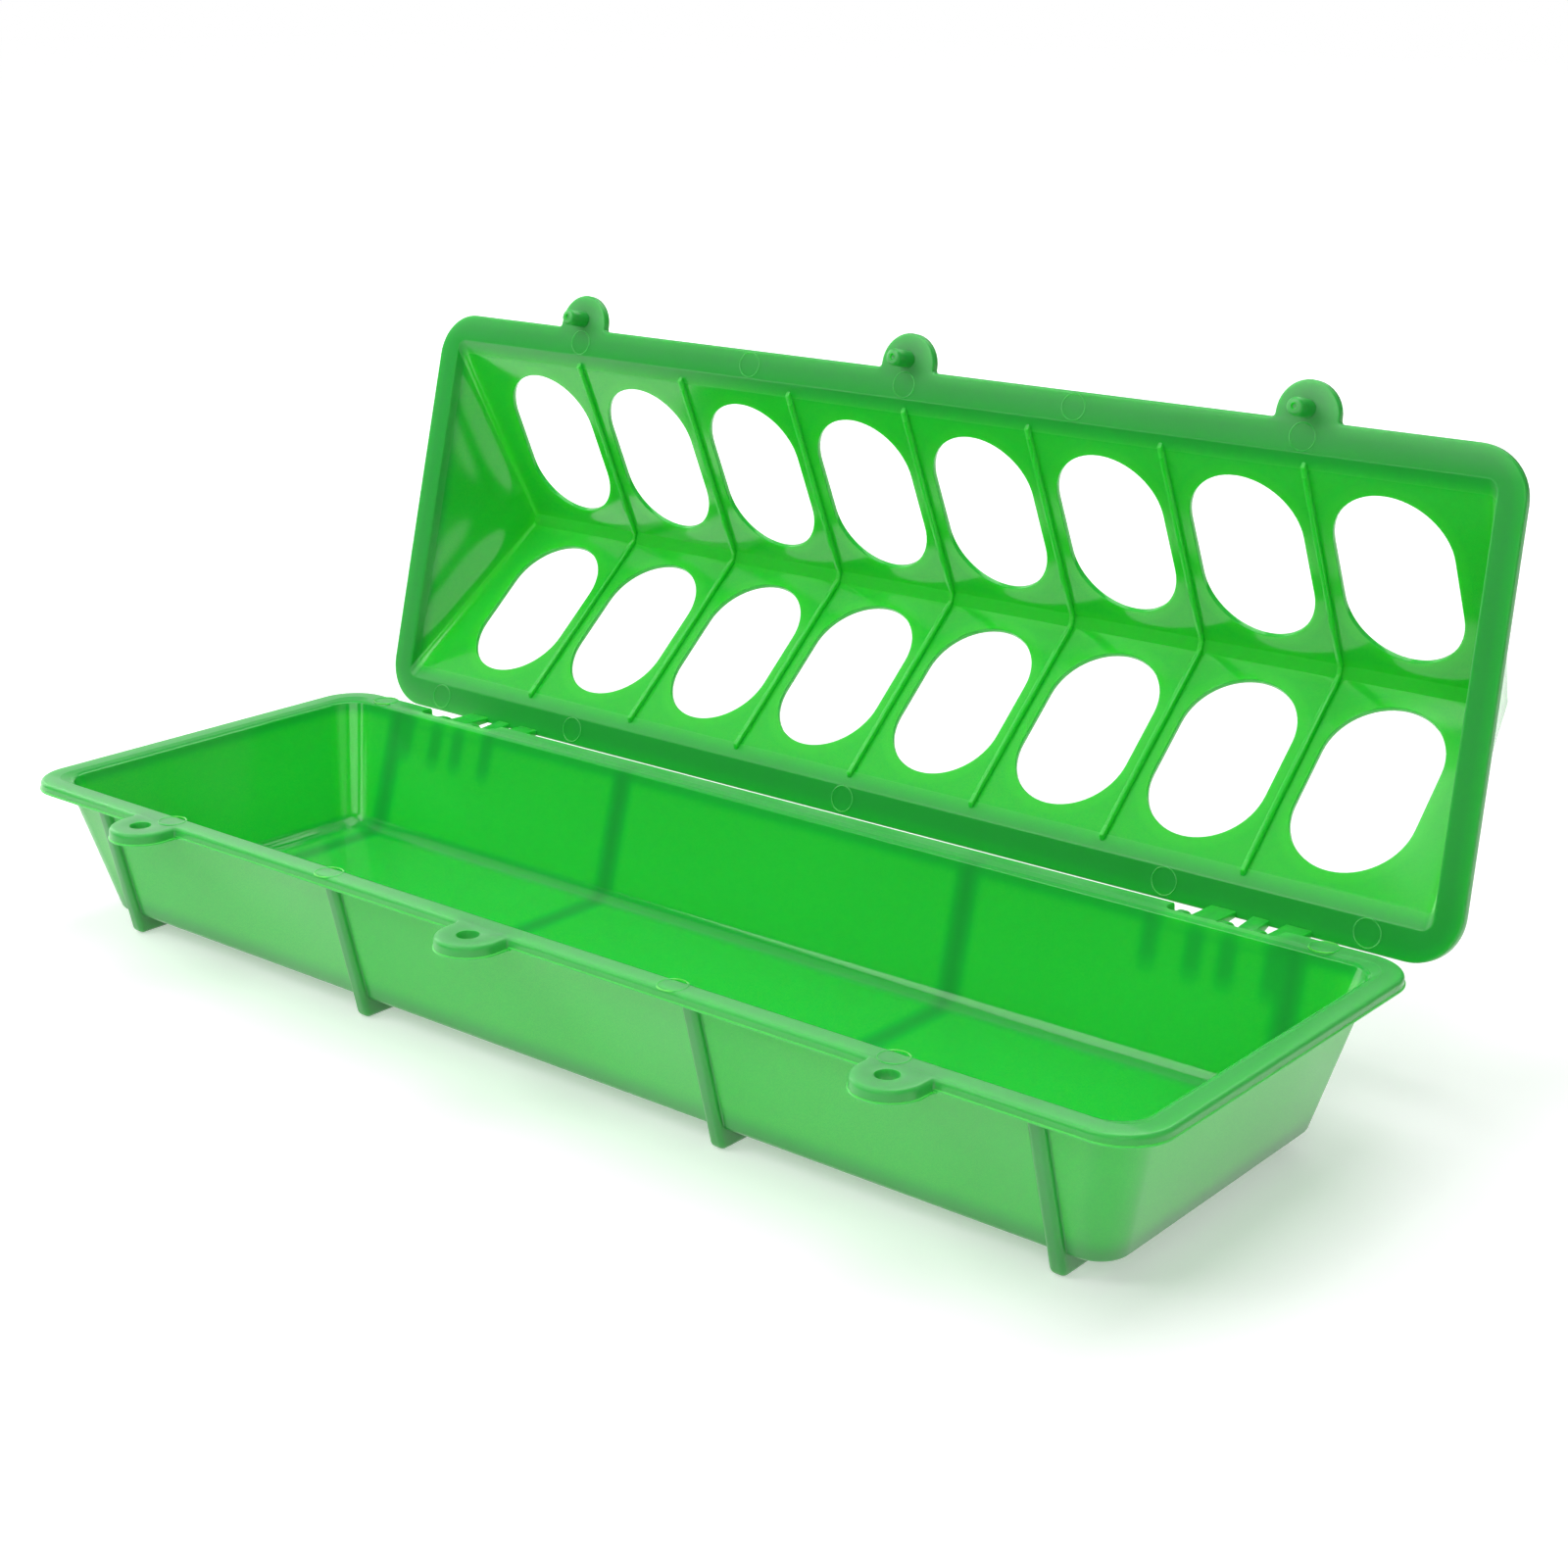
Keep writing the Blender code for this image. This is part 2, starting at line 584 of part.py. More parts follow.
def outer_hook_outline():
    """Hook that passes the pin on the wall's side and curls under it."""
    near, far = hook_root()
    root_z = LID_UNDERSIDE + FUSE_DEPTH - PIN_Z
    start, end = OUTER_HOOK_WRAP
    outline = [(far, root_z), (near, root_z)]
    outline += arc((0.0, 0.0), HOOK_OUTER_RADIUS, math.pi, end, ARC_STEPS)
    outline += arc((0.0, 0.0), HOOK_INNER_RADIUS, end, start, ARC_STEPS)
    return outline


def middle_hook_outline():
    """Hook that passes over the pin and curls under it from behind."""
    near, far = hook_root()
    root_z = LID_UNDERSIDE + FUSE_DEPTH - PIN_Z
    start, end = MIDDLE_HOOK_WRAP
    outline = [(near, root_z), (far, root_z)]
    outline += arc((0.0, 0.0), HOOK_OUTER_RADIUS, MIDDLE_HOOK_JOIN, end, ARC_STEPS)
    outline += arc((0.0, 0.0), HOOK_INNER_RADIUS, end, start, ARC_STEPS)
    outline += [(HOOK_OUTER_RADIUS * math.cos(start), HOOK_OUTER_RADIUS * math.sin(start))]
    return outline


def hook(x, outline, width):
    placed = [(PIN_Y + y, PIN_Z + z) for y, z in outline]
    return extrude_along_x("hook", placed, x, width)


def hinge_hooks(station):
    """Two outer hooks and a middle one that curls the other way."""
    hooks = [hook(station + offset, outer_hook_outline(), OUTER_HOOK_WIDTH)
             for offset in mirrored(OUTER_HOOK_OFFSET)]
    hooks.append(hook(station, middle_hook_outline(), MIDDLE_HOOK_WIDTH))
    return hooks


def build_lid(material):
    lid = lid_body()
    add(lid, [ear_tab(x) for x in eye_places()])
    middle = (HOLES_PER_SIDE - 1) / 2
    add(lid, [roof_rib((index + 1 / 2 - middle) * HOLE_PITCH)
              for index in range(HOLES_PER_SIDE - 1)])
    for side in (1, -1):
        cut(lid, [feeding_hole((index - middle) * HOLE_PITCH, side)
                  for index in range(HOLES_PER_SIDE)])
    for station in hinge_stations():
        add(lid, hinge_hooks(station))
    add(lid, [peg(x) for x in eye_places()])
    finish(lid, material)
    return lid


def set_origin(item, origin):
    """Move an object's origin without moving its surface."""
    for vertex in item.data.vertices:
        vertex.co.x -= origin[0]
        vertex.co.y -= origin[1]
        vertex.co.z -= origin[2]
    item.location = origin


def swing_open(lid):
    """Turn the lid back on the hinge pins by its open angle."""
    lid.rotation_euler.x = -OPEN_ANGLE


def centre_on_origin(items):
    """Slide the object along Y so that its bounds are centred over the origin."""
    bpy.context.view_layer.update()
    ys = [(item.matrix_world @ vertex.co).y for item in items for vertex in item.data.vertices]
    shift = (min(ys) + max(ys)) / 2
    for item in items:
        item.location.y -= shift


def main():
    clear_scene()
    trough = build_trough(plastic("trough_plastic"))
    lid = build_lid(plastic("lid_plastic"))
    set_origin(lid, (0.0, PIN_Y, PIN_Z))
    swing_open(lid)
    centre_on_origin([trough, lid])


main()
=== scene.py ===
"""Looks of the flip-top poultry feeder: finer mouldings in green plastic, and a studio.

Both mouldings are built closed in the trough's own frame (X along the trough, Y to the hinge side,
Z up from the feet), then the lid is swung open on its pins. Sizes are in metres.
"""

import math

import bmesh
import bpy
from mathutils import Matrix, Vector


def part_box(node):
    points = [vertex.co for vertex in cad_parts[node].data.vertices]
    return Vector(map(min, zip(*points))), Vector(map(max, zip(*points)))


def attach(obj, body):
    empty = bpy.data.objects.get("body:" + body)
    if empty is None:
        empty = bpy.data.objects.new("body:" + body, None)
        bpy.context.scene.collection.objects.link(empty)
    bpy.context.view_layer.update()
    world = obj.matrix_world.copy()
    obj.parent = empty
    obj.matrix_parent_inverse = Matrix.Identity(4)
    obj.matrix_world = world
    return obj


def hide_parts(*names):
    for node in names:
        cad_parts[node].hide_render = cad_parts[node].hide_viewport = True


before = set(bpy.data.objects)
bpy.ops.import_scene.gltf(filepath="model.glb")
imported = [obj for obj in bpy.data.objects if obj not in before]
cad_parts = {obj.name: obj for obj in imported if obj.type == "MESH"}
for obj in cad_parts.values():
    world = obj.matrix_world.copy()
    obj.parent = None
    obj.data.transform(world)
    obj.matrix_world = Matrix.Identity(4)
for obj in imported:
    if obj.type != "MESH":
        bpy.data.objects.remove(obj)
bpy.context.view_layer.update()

# Trough
RIM_LENGTH = 0.300
RIM_WIDTH = 0.100
RIM_HEIGHT = 0.0352
RIM_THICKNESS = 0.0022
RIM_CORNER_RADIUS = 0.0103
RIM_EDGE_RADIUS = 0.0009
RIM_FACE_WIDTH = 0.0044
RIM_INNER_RADIUS = 0.0004
RIM_INNER_SWEEP = math.radians(30)
LEDGE_DROP = 0.0006
LEDGE_FILLET = 0.0004
WALL_INSET = 0.0053
WALL_THICKNESS = 0.0014
SIDE_DRAFT = math.radians(15.2)
END_DRAFT = math.radians(16.5)
WALL_CORNER_RADIUS = 0.0082
FLOOR_CORNER_RADIUS = 0.0064
FLOOR_THICKNESS = 0.0015
FLOOR_FILLET = 0.0012
INSIDE_FILLET = 0.0040
FOOT_HEIGHT = 0.0040
FOOT_CORNER_RADIUS = 0.0017
RIB_WIDTH = 0.0034
RIB_LAND = 0.0012
RIB_PROUD = 0.0016
RIB_ROOT_FILLET = 0.0005
RIB_SPACING = 0.0990
OUTER_RIB_FROM_END = 0.0238
EYE_FROM_END = 0.0484
EYE_RADIUS = 0.0073
EYE_CENTRE_REACH = 0.0028
EYE_THICKNESS = 0.0026
EYE_SINK = 0.00005
TAB_ROOT = 0.0030
EYE_FLARE = 0.0003
EAR_FLARE = 0.0008
PEG_REACH = 0.0034
PEG_RADIUS = 0.00195
PEG_LENGTH = 0.0060
PEG_CLEARANCE = 0.0003
PEG_TIP_RADIUS = PEG_RADIUS * 0.45
DIMPLE_MOUTH_RADIUS = PEG_RADIUS * 0.36
DIMPLE_FOOT_RADIUS = PEG_RADIUS * 0.24
DIMPLE_TIP_RADIUS = 0.0001
DIMPLE_FOOT_DEPTH = 0.0004
DIMPLE_DEPTH = 0.0005

# Hinge
HINGE_FROM_END = 0.0418
PIN_BACK = 0.0043
PIN_DROP = 0.0069
PIN_RADIUS = 0.0015
KNUCKLE_RADIUS = 0.0034
KNUCKLE_THICKNESS = 0.0018
KNUCKLE_ROOT_RISE = 0.0049
KNUCKLE_ROOT_DROP = 0.0048
KNUCKLE_SIDE_GAP = 0.0010
END_KNUCKLE_GAP = 0.0013
NOTCH_SIDE_GAP = 0.0011
NOTCH_WALL_GAP = 0.0007
NOTCH_CORNER_RADIUS = 0.0016
HOOK_THICKNESS = 0.0014
HOOK_CLEARANCE = 0.0003
HOOK_EDGE_SETBACK = 0.0001
OUTER_HOOK_WIDTH = 0.0059
MIDDLE_HOOK_WIDTH = 0.0038
OUTER_HOOK_WRAP = (math.radians(150), math.radians(330))
MIDDLE_HOOK_WRAP = (math.radians(150), math.radians(-110))
MIDDLE_HOOK_JOIN = math.radians(100)

# Lid
LID_SIDE_OVERHANG = 0.0011
LID_END_OVERHANG = 0.0007
LID_CORNER_RADIUS = 0.0110
EAR_RADIUS = 0.0073
EAR_CENTRE_REACH = 0.0011
FLANGE_THICKNESS = 0.0022
FLANGE_EDGE_RADIUS = 0.0005
FLANGE_FACE_WIDTH = 0.0068
FLANGE_END_WIDTH = 0.0059
FLANGE_REST_GAP = 0.0003
FLANGE_ROOT_FILLET = 0.0008
ROOF_THICKNESS = 0.0012
ROOF_SLOPE = math.radians(36.5)
ROOF_END_LEAN = math.radians(11.5)
ROOF_CORNER_RADIUS = 0.0028
ROOF_ROOT_RADIUS = 0.0010
RIDGE_HALF_WIDTH = 0.0015
RIDGE_CORNER_RADIUS = 0.0010
OPEN_ANGLE = math.radians(102.9)
HOLES_PER_SIDE = 8
HOLE_WEB = 0.0070
HOLE_END_MARGIN = 0.0124
HOLE_FOOT_MARGIN = 0.0080
HOLE_RIDGE_MARGIN = 0.0043
HOLE_EDGE_RADIUS = 0.00022
ROOF_RIB_WIDTH = 0.0011
ROOF_RIB_PROUD = 0.0011
ROOF_RIB_FOOT_GAP = 0.0018

# Traces of the mould: its parting line and its ejector pins
LIP_REACH = 0.00022
LIP_HEIGHT = 0.00036
MARK_RADIUS = 0.0031
MARK_PROUD = 0.00014
MARK_RING_WIDTH = 0.00032
TROUGH_MARKS = ((-0.0986, -0.0472), (-0.0474, -0.0472), (0.0474, -0.0472), (0.0982, -0.0470),
                (-0.1345, 0.0466), (0.1306, 0.0466))
LID_FRONT_MARKS = (-0.1014, -0.0459, 0.0, 0.0459, 0.1014)
LID_BACK_MARKS = (-0.1314, -0.0850, 0.0, 0.0850, 0.1314)
LID_FRONT_MARK_INSET = 0.0035
LID_BACK_MARK_INSET = 0.0037

# How the pieces are made: bevels, overlaps that fuse, overruns of cutters, steps of round forms
EDGE_BEVEL = 0.00025
BEVEL_SEGMENTS = 2
FUSE_DEPTH = 0.0006
ROOT_SINK = 0.00004
CUT_OVERRUN = 0.0020
CORNER_STEPS = 16
FILLET_STEPS = 6
EDGE_STEPS = 5
CREST_STEPS = 6
ROUND_STEPS = 40
ARC_STEPS = 20
HOLE_END_STEPS = 16
PEG_TIP_TURNS = (math.radians(30), math.radians(60), math.radians(90))
EYE_EDGE_TURNS = (math.radians(45), math.radians(80))
HOLE_EDGE_TURNS = (math.radians(10), math.radians(45), math.radians(90))
MERGE_DISTANCE = 0.000002
SMOOTH_ANGLE = math.radians(32)

# Sizes that follow from those above
RIM_BOTTOM = RIM_HEIGHT - RIM_THICKNESS
WALL_TOP_HALF_WIDTH = RIM_WIDTH / 2 - WALL_INSET
WALL_TOP_HALF_LENGTH = RIM_LENGTH / 2 - WALL_INSET
PIN_Y = RIM_WIDTH / 2 + PIN_BACK
PIN_Z = RIM_HEIGHT - PIN_DROP
PEG_Y = -RIM_WIDTH / 2 - PEG_REACH
LID_UNDERSIDE = RIM_HEIGHT + FLANGE_REST_GAP
LID_LENGTH = RIM_LENGTH + 2 * LID_END_OVERHANG
LID_WIDTH = RIM_WIDTH + 2 * LID_SIDE_OVERHANG
ROOF_FOOT_HALF_LENGTH = LID_LENGTH / 2 - FLANGE_END_WIDTH
ROOF_FOOT_HALF_WIDTH = LID_WIDTH / 2 - FLANGE_FACE_WIDTH
SLOPE_LENGTH = (ROOF_FOOT_HALF_WIDTH - RIDGE_HALF_WIDTH) / math.cos(ROOF_SLOPE)
HOLE_PITCH = 2 * (ROOF_FOOT_HALF_LENGTH - HOLE_END_MARGIN + HOLE_WEB / 2) / HOLES_PER_SIDE
HOLE_WIDTH = HOLE_PITCH - HOLE_WEB
HOLE_LENGTH = SLOPE_LENGTH - HOLE_FOOT_MARGIN - HOLE_RIDGE_MARGIN
HOOK_INNER_RADIUS = PIN_RADIUS + HOOK_CLEARANCE
HOOK_OUTER_RADIUS = HOOK_INNER_RADIUS + HOOK_THICKNESS
INNER_KNUCKLE_OFFSET = MIDDLE_HOOK_WIDTH / 2 + KNUCKLE_SIDE_GAP + KNUCKLE_THICKNESS / 2
OUTER_HOOK_START = INNER_KNUCKLE_OFFSET + KNUCKLE_THICKNESS / 2 + KNUCKLE_SIDE_GAP
OUTER_HOOK_OFFSET = OUTER_HOOK_START + OUTER_HOOK_WIDTH / 2
OUTER_HOOK_END = OUTER_HOOK_START + OUTER_HOOK_WIDTH
OUTER_KNUCKLE_OFFSET = OUTER_HOOK_END + END_KNUCKLE_GAP + KNUCKLE_THICKNESS / 2
NOTCH_HALF_WIDTH = OUTER_HOOK_END + NOTCH_SIDE_GAP

# The trough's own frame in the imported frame: only Y differs
Y_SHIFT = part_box("trough")[0].y + RIM_WIDTH / 2 + EYE_CENTRE_REACH + EYE_RADIUS


def new_object(name, points, faces):
    """A mesh object whose coincident points are merged, so that no edge has zero length."""
    mesh = bpy.data.meshes.new(name)
    mesh.from_pydata(points, [], faces)
    shape = bmesh.new()
    shape.from_mesh(mesh)
    bmesh.ops.remove_doubles(shape, verts=shape.verts, dist=MERGE_DISTANCE)
    bmesh.ops.recalc_face_normals(shape, faces=shape.faces)
    shape.to_mesh(mesh)
    shape.free()
    item = bpy.data.objects.new(name, mesh)
    bpy.context.scene.collection.objects.link(item)
    return item


def loft(name, rings):
    """A closed solid through rings of equally many points, with both ends capped."""
    count = len(rings[0])
    points = [point for ring in rings for point in ring]
    faces = [list(range(count))[::-1]]
    for level in range(len(rings) - 1):
        for index in range(count):
            following = (index + 1) % count
            low = level * count
            high = low + count
            faces.append([low + index, low + following, high + following, high + index])
    last = (len(rings) - 1) * count
    faces.append(list(range(last, last + count)))
    return new_object(name, points, faces)


def prism_along_x(name, outline, centre, width):
    """A prism of (y, z) points whose sharp edges are rounded."""
    rings = [[(x, y, z) for y, z in outline] for x in (centre - width / 2, centre + width / 2)]
    item = loft(name, rings)
    shape = bmesh.new()
    shape.from_mesh(item.data)
    edges = [edge for edge in shape.edges if edge.calc_face_angle(0.0) > SMOOTH_ANGLE]
    bmesh.ops.bevel(shape, geom=edges, offset=EDGE_BEVEL, segments=BEVEL_SEGMENTS, profile=0.5,
                    affect="EDGES", clamp_overlap=True)
    shape.to_mesh(item.data)
    shape.free()
    return item


def prism_along_z(name, outline, bottom, top):
    rings = [[(x, y, z) for x, y in outline] for z in (bottom, top)]
    return loft(name, rings)


def arc(centre, radius, start, end, steps):
    angles = [start + (end - start) * step / steps for step in range(steps + 1)]
    return [(centre[0] + radius * math.cos(a), centre[1] + radius * math.sin(a)) for a in angles]


def rounded_rectangle(half_length, half_width, radius, z):
    """A ring of points at one height, counter-clockwise seen from above."""
    points = []
    quarter = math.pi / 2
    for turn, (side_x, side_y) in enumerate(((1, 1), (-1, 1), (-1, -1), (1, -1))):
        centre = (side_x * (half_length - radius), side_y * (half_width - radius))
        corner = arc(centre, radius, turn * quarter, (turn + 1) * quarter, CORNER_STEPS)
        points += [(x, y, z) for x, y in corner]
    return points


def apply_boolean(target, tool, operation):
    modifier = target.modifiers.new(operation.lower(), "BOOLEAN")
    modifier.solver = "EXACT"
    modifier.operation = operation
    modifier.object = tool
    bpy.context.view_layer.update()
    graph = bpy.context.evaluated_depsgraph_get()
    mesh = bpy.data.meshes.new_from_object(target.evaluated_get(graph))
    target.modifiers.clear()
    old_mesh = target.data
    target.data = mesh
    mesh.name = target.name
    bpy.data.meshes.remove(old_mesh)
    bpy.data.objects.remove(tool, do_unlink=True)


def add(target, tools):
    for tool in tools:
        apply_boolean(target, tool, "UNION")


def cut(target, tools):
    for tool in tools:
        apply_boolean(target, tool, "DIFFERENCE")


def finish_mesh(item, material):
    """Clean the mesh and shade it smooth between its sharp edges."""
    shape = bmesh.new()
    shape.from_mesh(item.data)
    bmesh.ops.dissolve_degenerate(shape, dist=MERGE_DISTANCE, edges=shape.edges)
    bmesh.ops.remove_doubles(shape, verts=shape.verts, dist=MERGE_DISTANCE)
    bmesh.ops.triangulate(shape, faces=shape.faces)
    shape.to_mesh(item.data)
    shape.free()
    item.data.shade_smooth()
    item.data.set_sharp_from_angle(angle=SMOOTH_ANGLE)
    item.data.materials.clear()
    item.data.materials.append(material)


# Trough

def wall_half_width(z):
    return WALL_TOP_HALF_WIDTH - (RIM_BOTTOM - z) * math.tan(SIDE_DRAFT)


def wall_half_length(z):
    return WALL_TOP_HALF_LENGTH - (RIM_BOTTOM - z) * math.tan(END_DRAFT)


def wall_corner_radius(z):
    share = (z - FOOT_HEIGHT) / (RIM_BOTTOM - FOOT_HEIGHT)
    return FLOOR_CORNER_RADIUS + share * (WALL_CORNER_RADIUS - FLOOR_CORNER_RADIUS)


def wall_ring(z, inset):
    radius = max(wall_corner_radius(z) - inset, RIM_EDGE_RADIUS)
    return rounded_rectangle(wall_half_length(z) - inset, wall_half_width(z) - inset, radius, z)


def wall_rings(floor_z, fillet, inset):
    """Rings from the floor's edge up round its fillet to where the straight wall begins."""
    bend = arc((fillet, floor_z + fillet), fillet, -math.pi / 2, -math.pi + SIDE_DRAFT,
               FILLET_STEPS)
    foot_inset = fillet * (1 - math.cos(SIDE_DRAFT))
    return [wall_ring(z, inset + across - foot_inset) for across, z in bend]


def rim_ring(inset, z):
    half_length = RIM_LENGTH / 2 - inset
    return rounded_rectangle(half_length, RIM_WIDTH / 2 - inset, RIM_CORNER_RADIUS - inset, z)


def parting_lip(bottom):
    """The thin lip that the mould's parting line leaves round an edge, as (inset, z) points."""
    soft = LIP_REACH / 3
    return [(soft, bottom), (0.0, bottom + soft), (0.0, bottom + LIP_HEIGHT - soft),
            (soft, bottom + LIP_HEIGHT), (LIP_REACH, bottom + LIP_HEIGHT + soft)]


def rim_edge():
    """The rounded outer edge on top of the rim and its eyes, as (inset, z) points."""
    bend = RIM_EDGE_RADIUS
    return arc((LIP_REACH + bend, RIM_HEIGHT - bend), bend, math.pi, math.pi / 2, EDGE_STEPS)


def trough_body():
    """Outer walls from the floor up, parting line, rim, ledge inside it, and inner walls down."""
    inner_floor = FOOT_HEIGHT + FLOOR_THICKNESS
    wall = WALL_THICKNESS / math.cos(SIDE_DRAFT)
    ledge_z = RIM_HEIGHT - LEDGE_DROP
    rings = wall_rings(FOOT_HEIGHT, FLOOR_FILLET, 0.0)
    rings += [wall_ring(RIM_BOTTOM, 0.0)]
    rings += [rim_ring(inset, z) for inset, z in parting_lip(RIM_BOTTOM) + rim_edge()]
    inner_z = RIM_HEIGHT - RIM_INNER_RADIUS
    end = math.pi / 2 - RIM_INNER_SWEEP
    inner = arc((RIM_FACE_WIDTH, inner_z), RIM_INNER_RADIUS, math.pi / 2, end, EDGE_STEPS)
    rings += [rim_ring(inset, z) for inset, z in inner]
    for step in range(EDGE_STEPS + 1):
        share = step / EDGE_STEPS
        soft = LEDGE_FILLET * (1 - share) ** 2
        rings.append(wall_ring(ledge_z - LEDGE_FILLET * share, wall - soft))
    rings += wall_rings(inner_floor, INSIDE_FILLET, wall)[::-1]
    return loft("trough_shell", rings)


def rib_stations():
    """Pairs of a base point and a crest point, (y, z), along half a rib from the foot up."""
    crest_offset = RIB_PROUD / math.cos(SIDE_DRAFT)
    centre_z = FOOT_CORNER_RADIUS
    bend_offset = FOOT_CORNER_RADIUS / math.cos(SIDE_DRAFT)
    centre_y = wall_half_width(centre_z) + crest_offset - bend_offset
    crest = arc((centre_y, centre_z), FOOT_CORNER_RADIUS, -math.pi / 2, -SIDE_DRAFT, CREST_STEPS)
    base_z = FOOT_HEIGHT + FUSE_DEPTH
    wall_base = FUSE_DEPTH / math.cos(SIDE_DRAFT)
    base_y = wall_half_width(base_z) - wall_base - FLOOR_FILLET
    stations = [((base_y, base_z), point) for point in crest]
    lift_z = FOOT_HEIGHT + FLOOR_FILLET
    for z in (lift_z, RIM_BOTTOM + FUSE_DEPTH):
        half = wall_half_width(z)
        stations.append(((half - wall_base, z), (half + crest_offset, z)))
    return stations


def rib_section(x, base, crest):
    """Cross-section of a rib: filleted roots, rounded shoulders and a flat land."""
    reach = math.dist(base, crest)
    along = ((crest[0] - base[0]) / reach, (crest[1] - base[1]) / reach)
    land = RIB_LAND / 2
    half = RIB_WIDTH / 2
    shoulder = half - land
    root_centre = (half + RIB_ROOT_FILLET, FUSE_DEPTH + RIB_ROOT_FILLET - ROOT_SINK)
    root = arc(root_centre, RIB_ROOT_FILLET, 1.5 * math.pi, math.pi, EDGE_STEPS)
    profile = [(half + RIB_ROOT_FILLET, 0.0)] + root
    profile += arc((land, reach - shoulder), shoulder, 0.0, math.pi / 2, CREST_STEPS)
    profile += arc((-land, reach - shoulder), shoulder, math.pi / 2, math.pi, CREST_STEPS)
    profile += [(-side, rise) for side, rise in root[::-1]] + [(-half - RIB_ROOT_FILLET, 0.0)]
    return [(x + side, base[0] + along[0] * rise, base[1] + along[1] * rise)
            for side, rise in profile]


def trough_rib(x):
    half = rib_stations()
    back = [rib_section(x, base, crest) for base, crest in half]
    front = [rib_section(x, (-base[0], base[1]), (-crest[0], crest[1])) for base, crest in half]
    return loft("trough_rib", front[::-1] + back)


def tab_ring(x, z, inset, radius, flare, centre_y, edge_y):
    """Outline of a half-round tab that flares into an edge, moved inwards by an inset."""
    flare_x = radius + flare
    flare_y = edge_y - flare
    bend = flare + inset
    quarter = math.pi / 2
    root = edge_y + TAB_ROOT
    outline = [(-flare_x, root)] + arc((-flare_x, flare_y), bend, quarter, 0.0, FILLET_STEPS)
    outline += arc((0.0, centre_y), radius - inset, math.pi, 2 * math.pi, ROUND_STEPS // 2)
    outline += arc((flare_x, flare_y), bend, math.pi, quarter, FILLET_STEPS) + [(flare_x, root)]
    return [(x + point_x, y, z) for point_x, y in outline]


def eye_tab(x):
    edge_y = -RIM_WIDTH / 2
    centre_y = edge_y - EYE_CENTRE_REACH
    edge = parting_lip(RIM_HEIGHT - EYE_THICKNESS) + rim_edge()
    rings = [tab_ring(x, z - EYE_SINK, inset, EYE_RADIUS, EYE_FLARE, centre_y, edge_y)
             for inset, z in edge]
    return loft("eye_tab", rings)


def ear_tab(x):
    edge_y = -LID_WIDTH / 2
    centre_y = edge_y - EAR_CENTRE_REACH
    rings = [tab_ring(x, z, inset, EAR_RADIUS, EAR_FLARE, centre_y, edge_y)
             for inset, z in flange_edge()]
    return loft("ear_tab", rings)


def eye_hole(x):
    """Cutter whose ends flare, so that the hole's edges are rounded."""
    radius = PEG_RADIUS + PEG_CLEARANCE
    bend = EDGE_BEVEL
    bottom = RIM_HEIGHT - EYE_THICKNESS
    levels = [(radius + bend + CUT_OVERRUN, bottom - CUT_OVERRUN), (radius + bend, bottom)]
    levels += [(radius, bottom + bend), (radius, RIM_HEIGHT - bend)]
    levels += [(radius + bend - bend * math.cos(a), RIM_HEIGHT - bend + bend * math.sin(a))
               for a in EYE_EDGE_TURNS]
    levels += [(radius + bend + CUT_OVERRUN, RIM_HEIGHT + CUT_OVERRUN)]
    rings = []
    for ring_radius, z in levels:
        circle = arc((x, PEG_Y), ring_radius, 0.0, 2 * math.pi, ROUND_STEPS)[:-1]
        rings.append([(px, py, z) for px, py in circle])
    return loft("eye_hole", rings)


def rim_notch(station):
    """Cutter that lets the hooks of one hinge through the back rim."""
    inner = WALL_TOP_HALF_WIDTH + NOTCH_WALL_GAP
    outer = RIM_WIDTH / 2 + CUT_OVERRUN
    corner = NOTCH_CORNER_RADIUS
    side = NOTCH_HALF_WIDTH - corner
    outline = [(NOTCH_HALF_WIDTH, outer), (-NOTCH_HALF_WIDTH, outer)]
    outline += arc((-side, inner + corner), corner, math.pi, 1.5 * math.pi, FILLET_STEPS)
    outline += arc((side, inner + corner), corner, 1.5 * math.pi, 2 * math.pi, FILLET_STEPS)
    outline = [(station + x, y) for x, y in outline]
    return prism_along_z("rim_notch", outline, RIM_BOTTOM - CUT_OVERRUN, RIM_HEIGHT + CUT_OVERRUN)


def knuckle(x):
    top_z = PIN_Z + KNUCKLE_ROOT_RISE
    foot_z = PIN_Z - KNUCKLE_ROOT_DROP
    wall_base = FUSE_DEPTH / math.cos(SIDE_DRAFT)
    head = arc((PIN_Y, PIN_Z), KNUCKLE_RADIUS, math.pi / 2, -math.pi / 2, ARC_STEPS)
    outline = [(wall_half_width(top_z) - wall_base, top_z)] + head
    outline += [(wall_half_width(foot_z) - wall_base, foot_z)]
    return prism_along_x("knuckle", outline, x, KNUCKLE_THICKNESS)


def hinge_pin(station):
    outline = arc((PIN_Y, PIN_Z), PIN_RADIUS, 0.0, 2 * math.pi, ROUND_STEPS)[:-1]
    length = 2 * OUTER_KNUCKLE_OFFSET + KNUCKLE_THICKNESS + FUSE_DEPTH
    return prism_along_x("hinge_pin", outline, station, length)


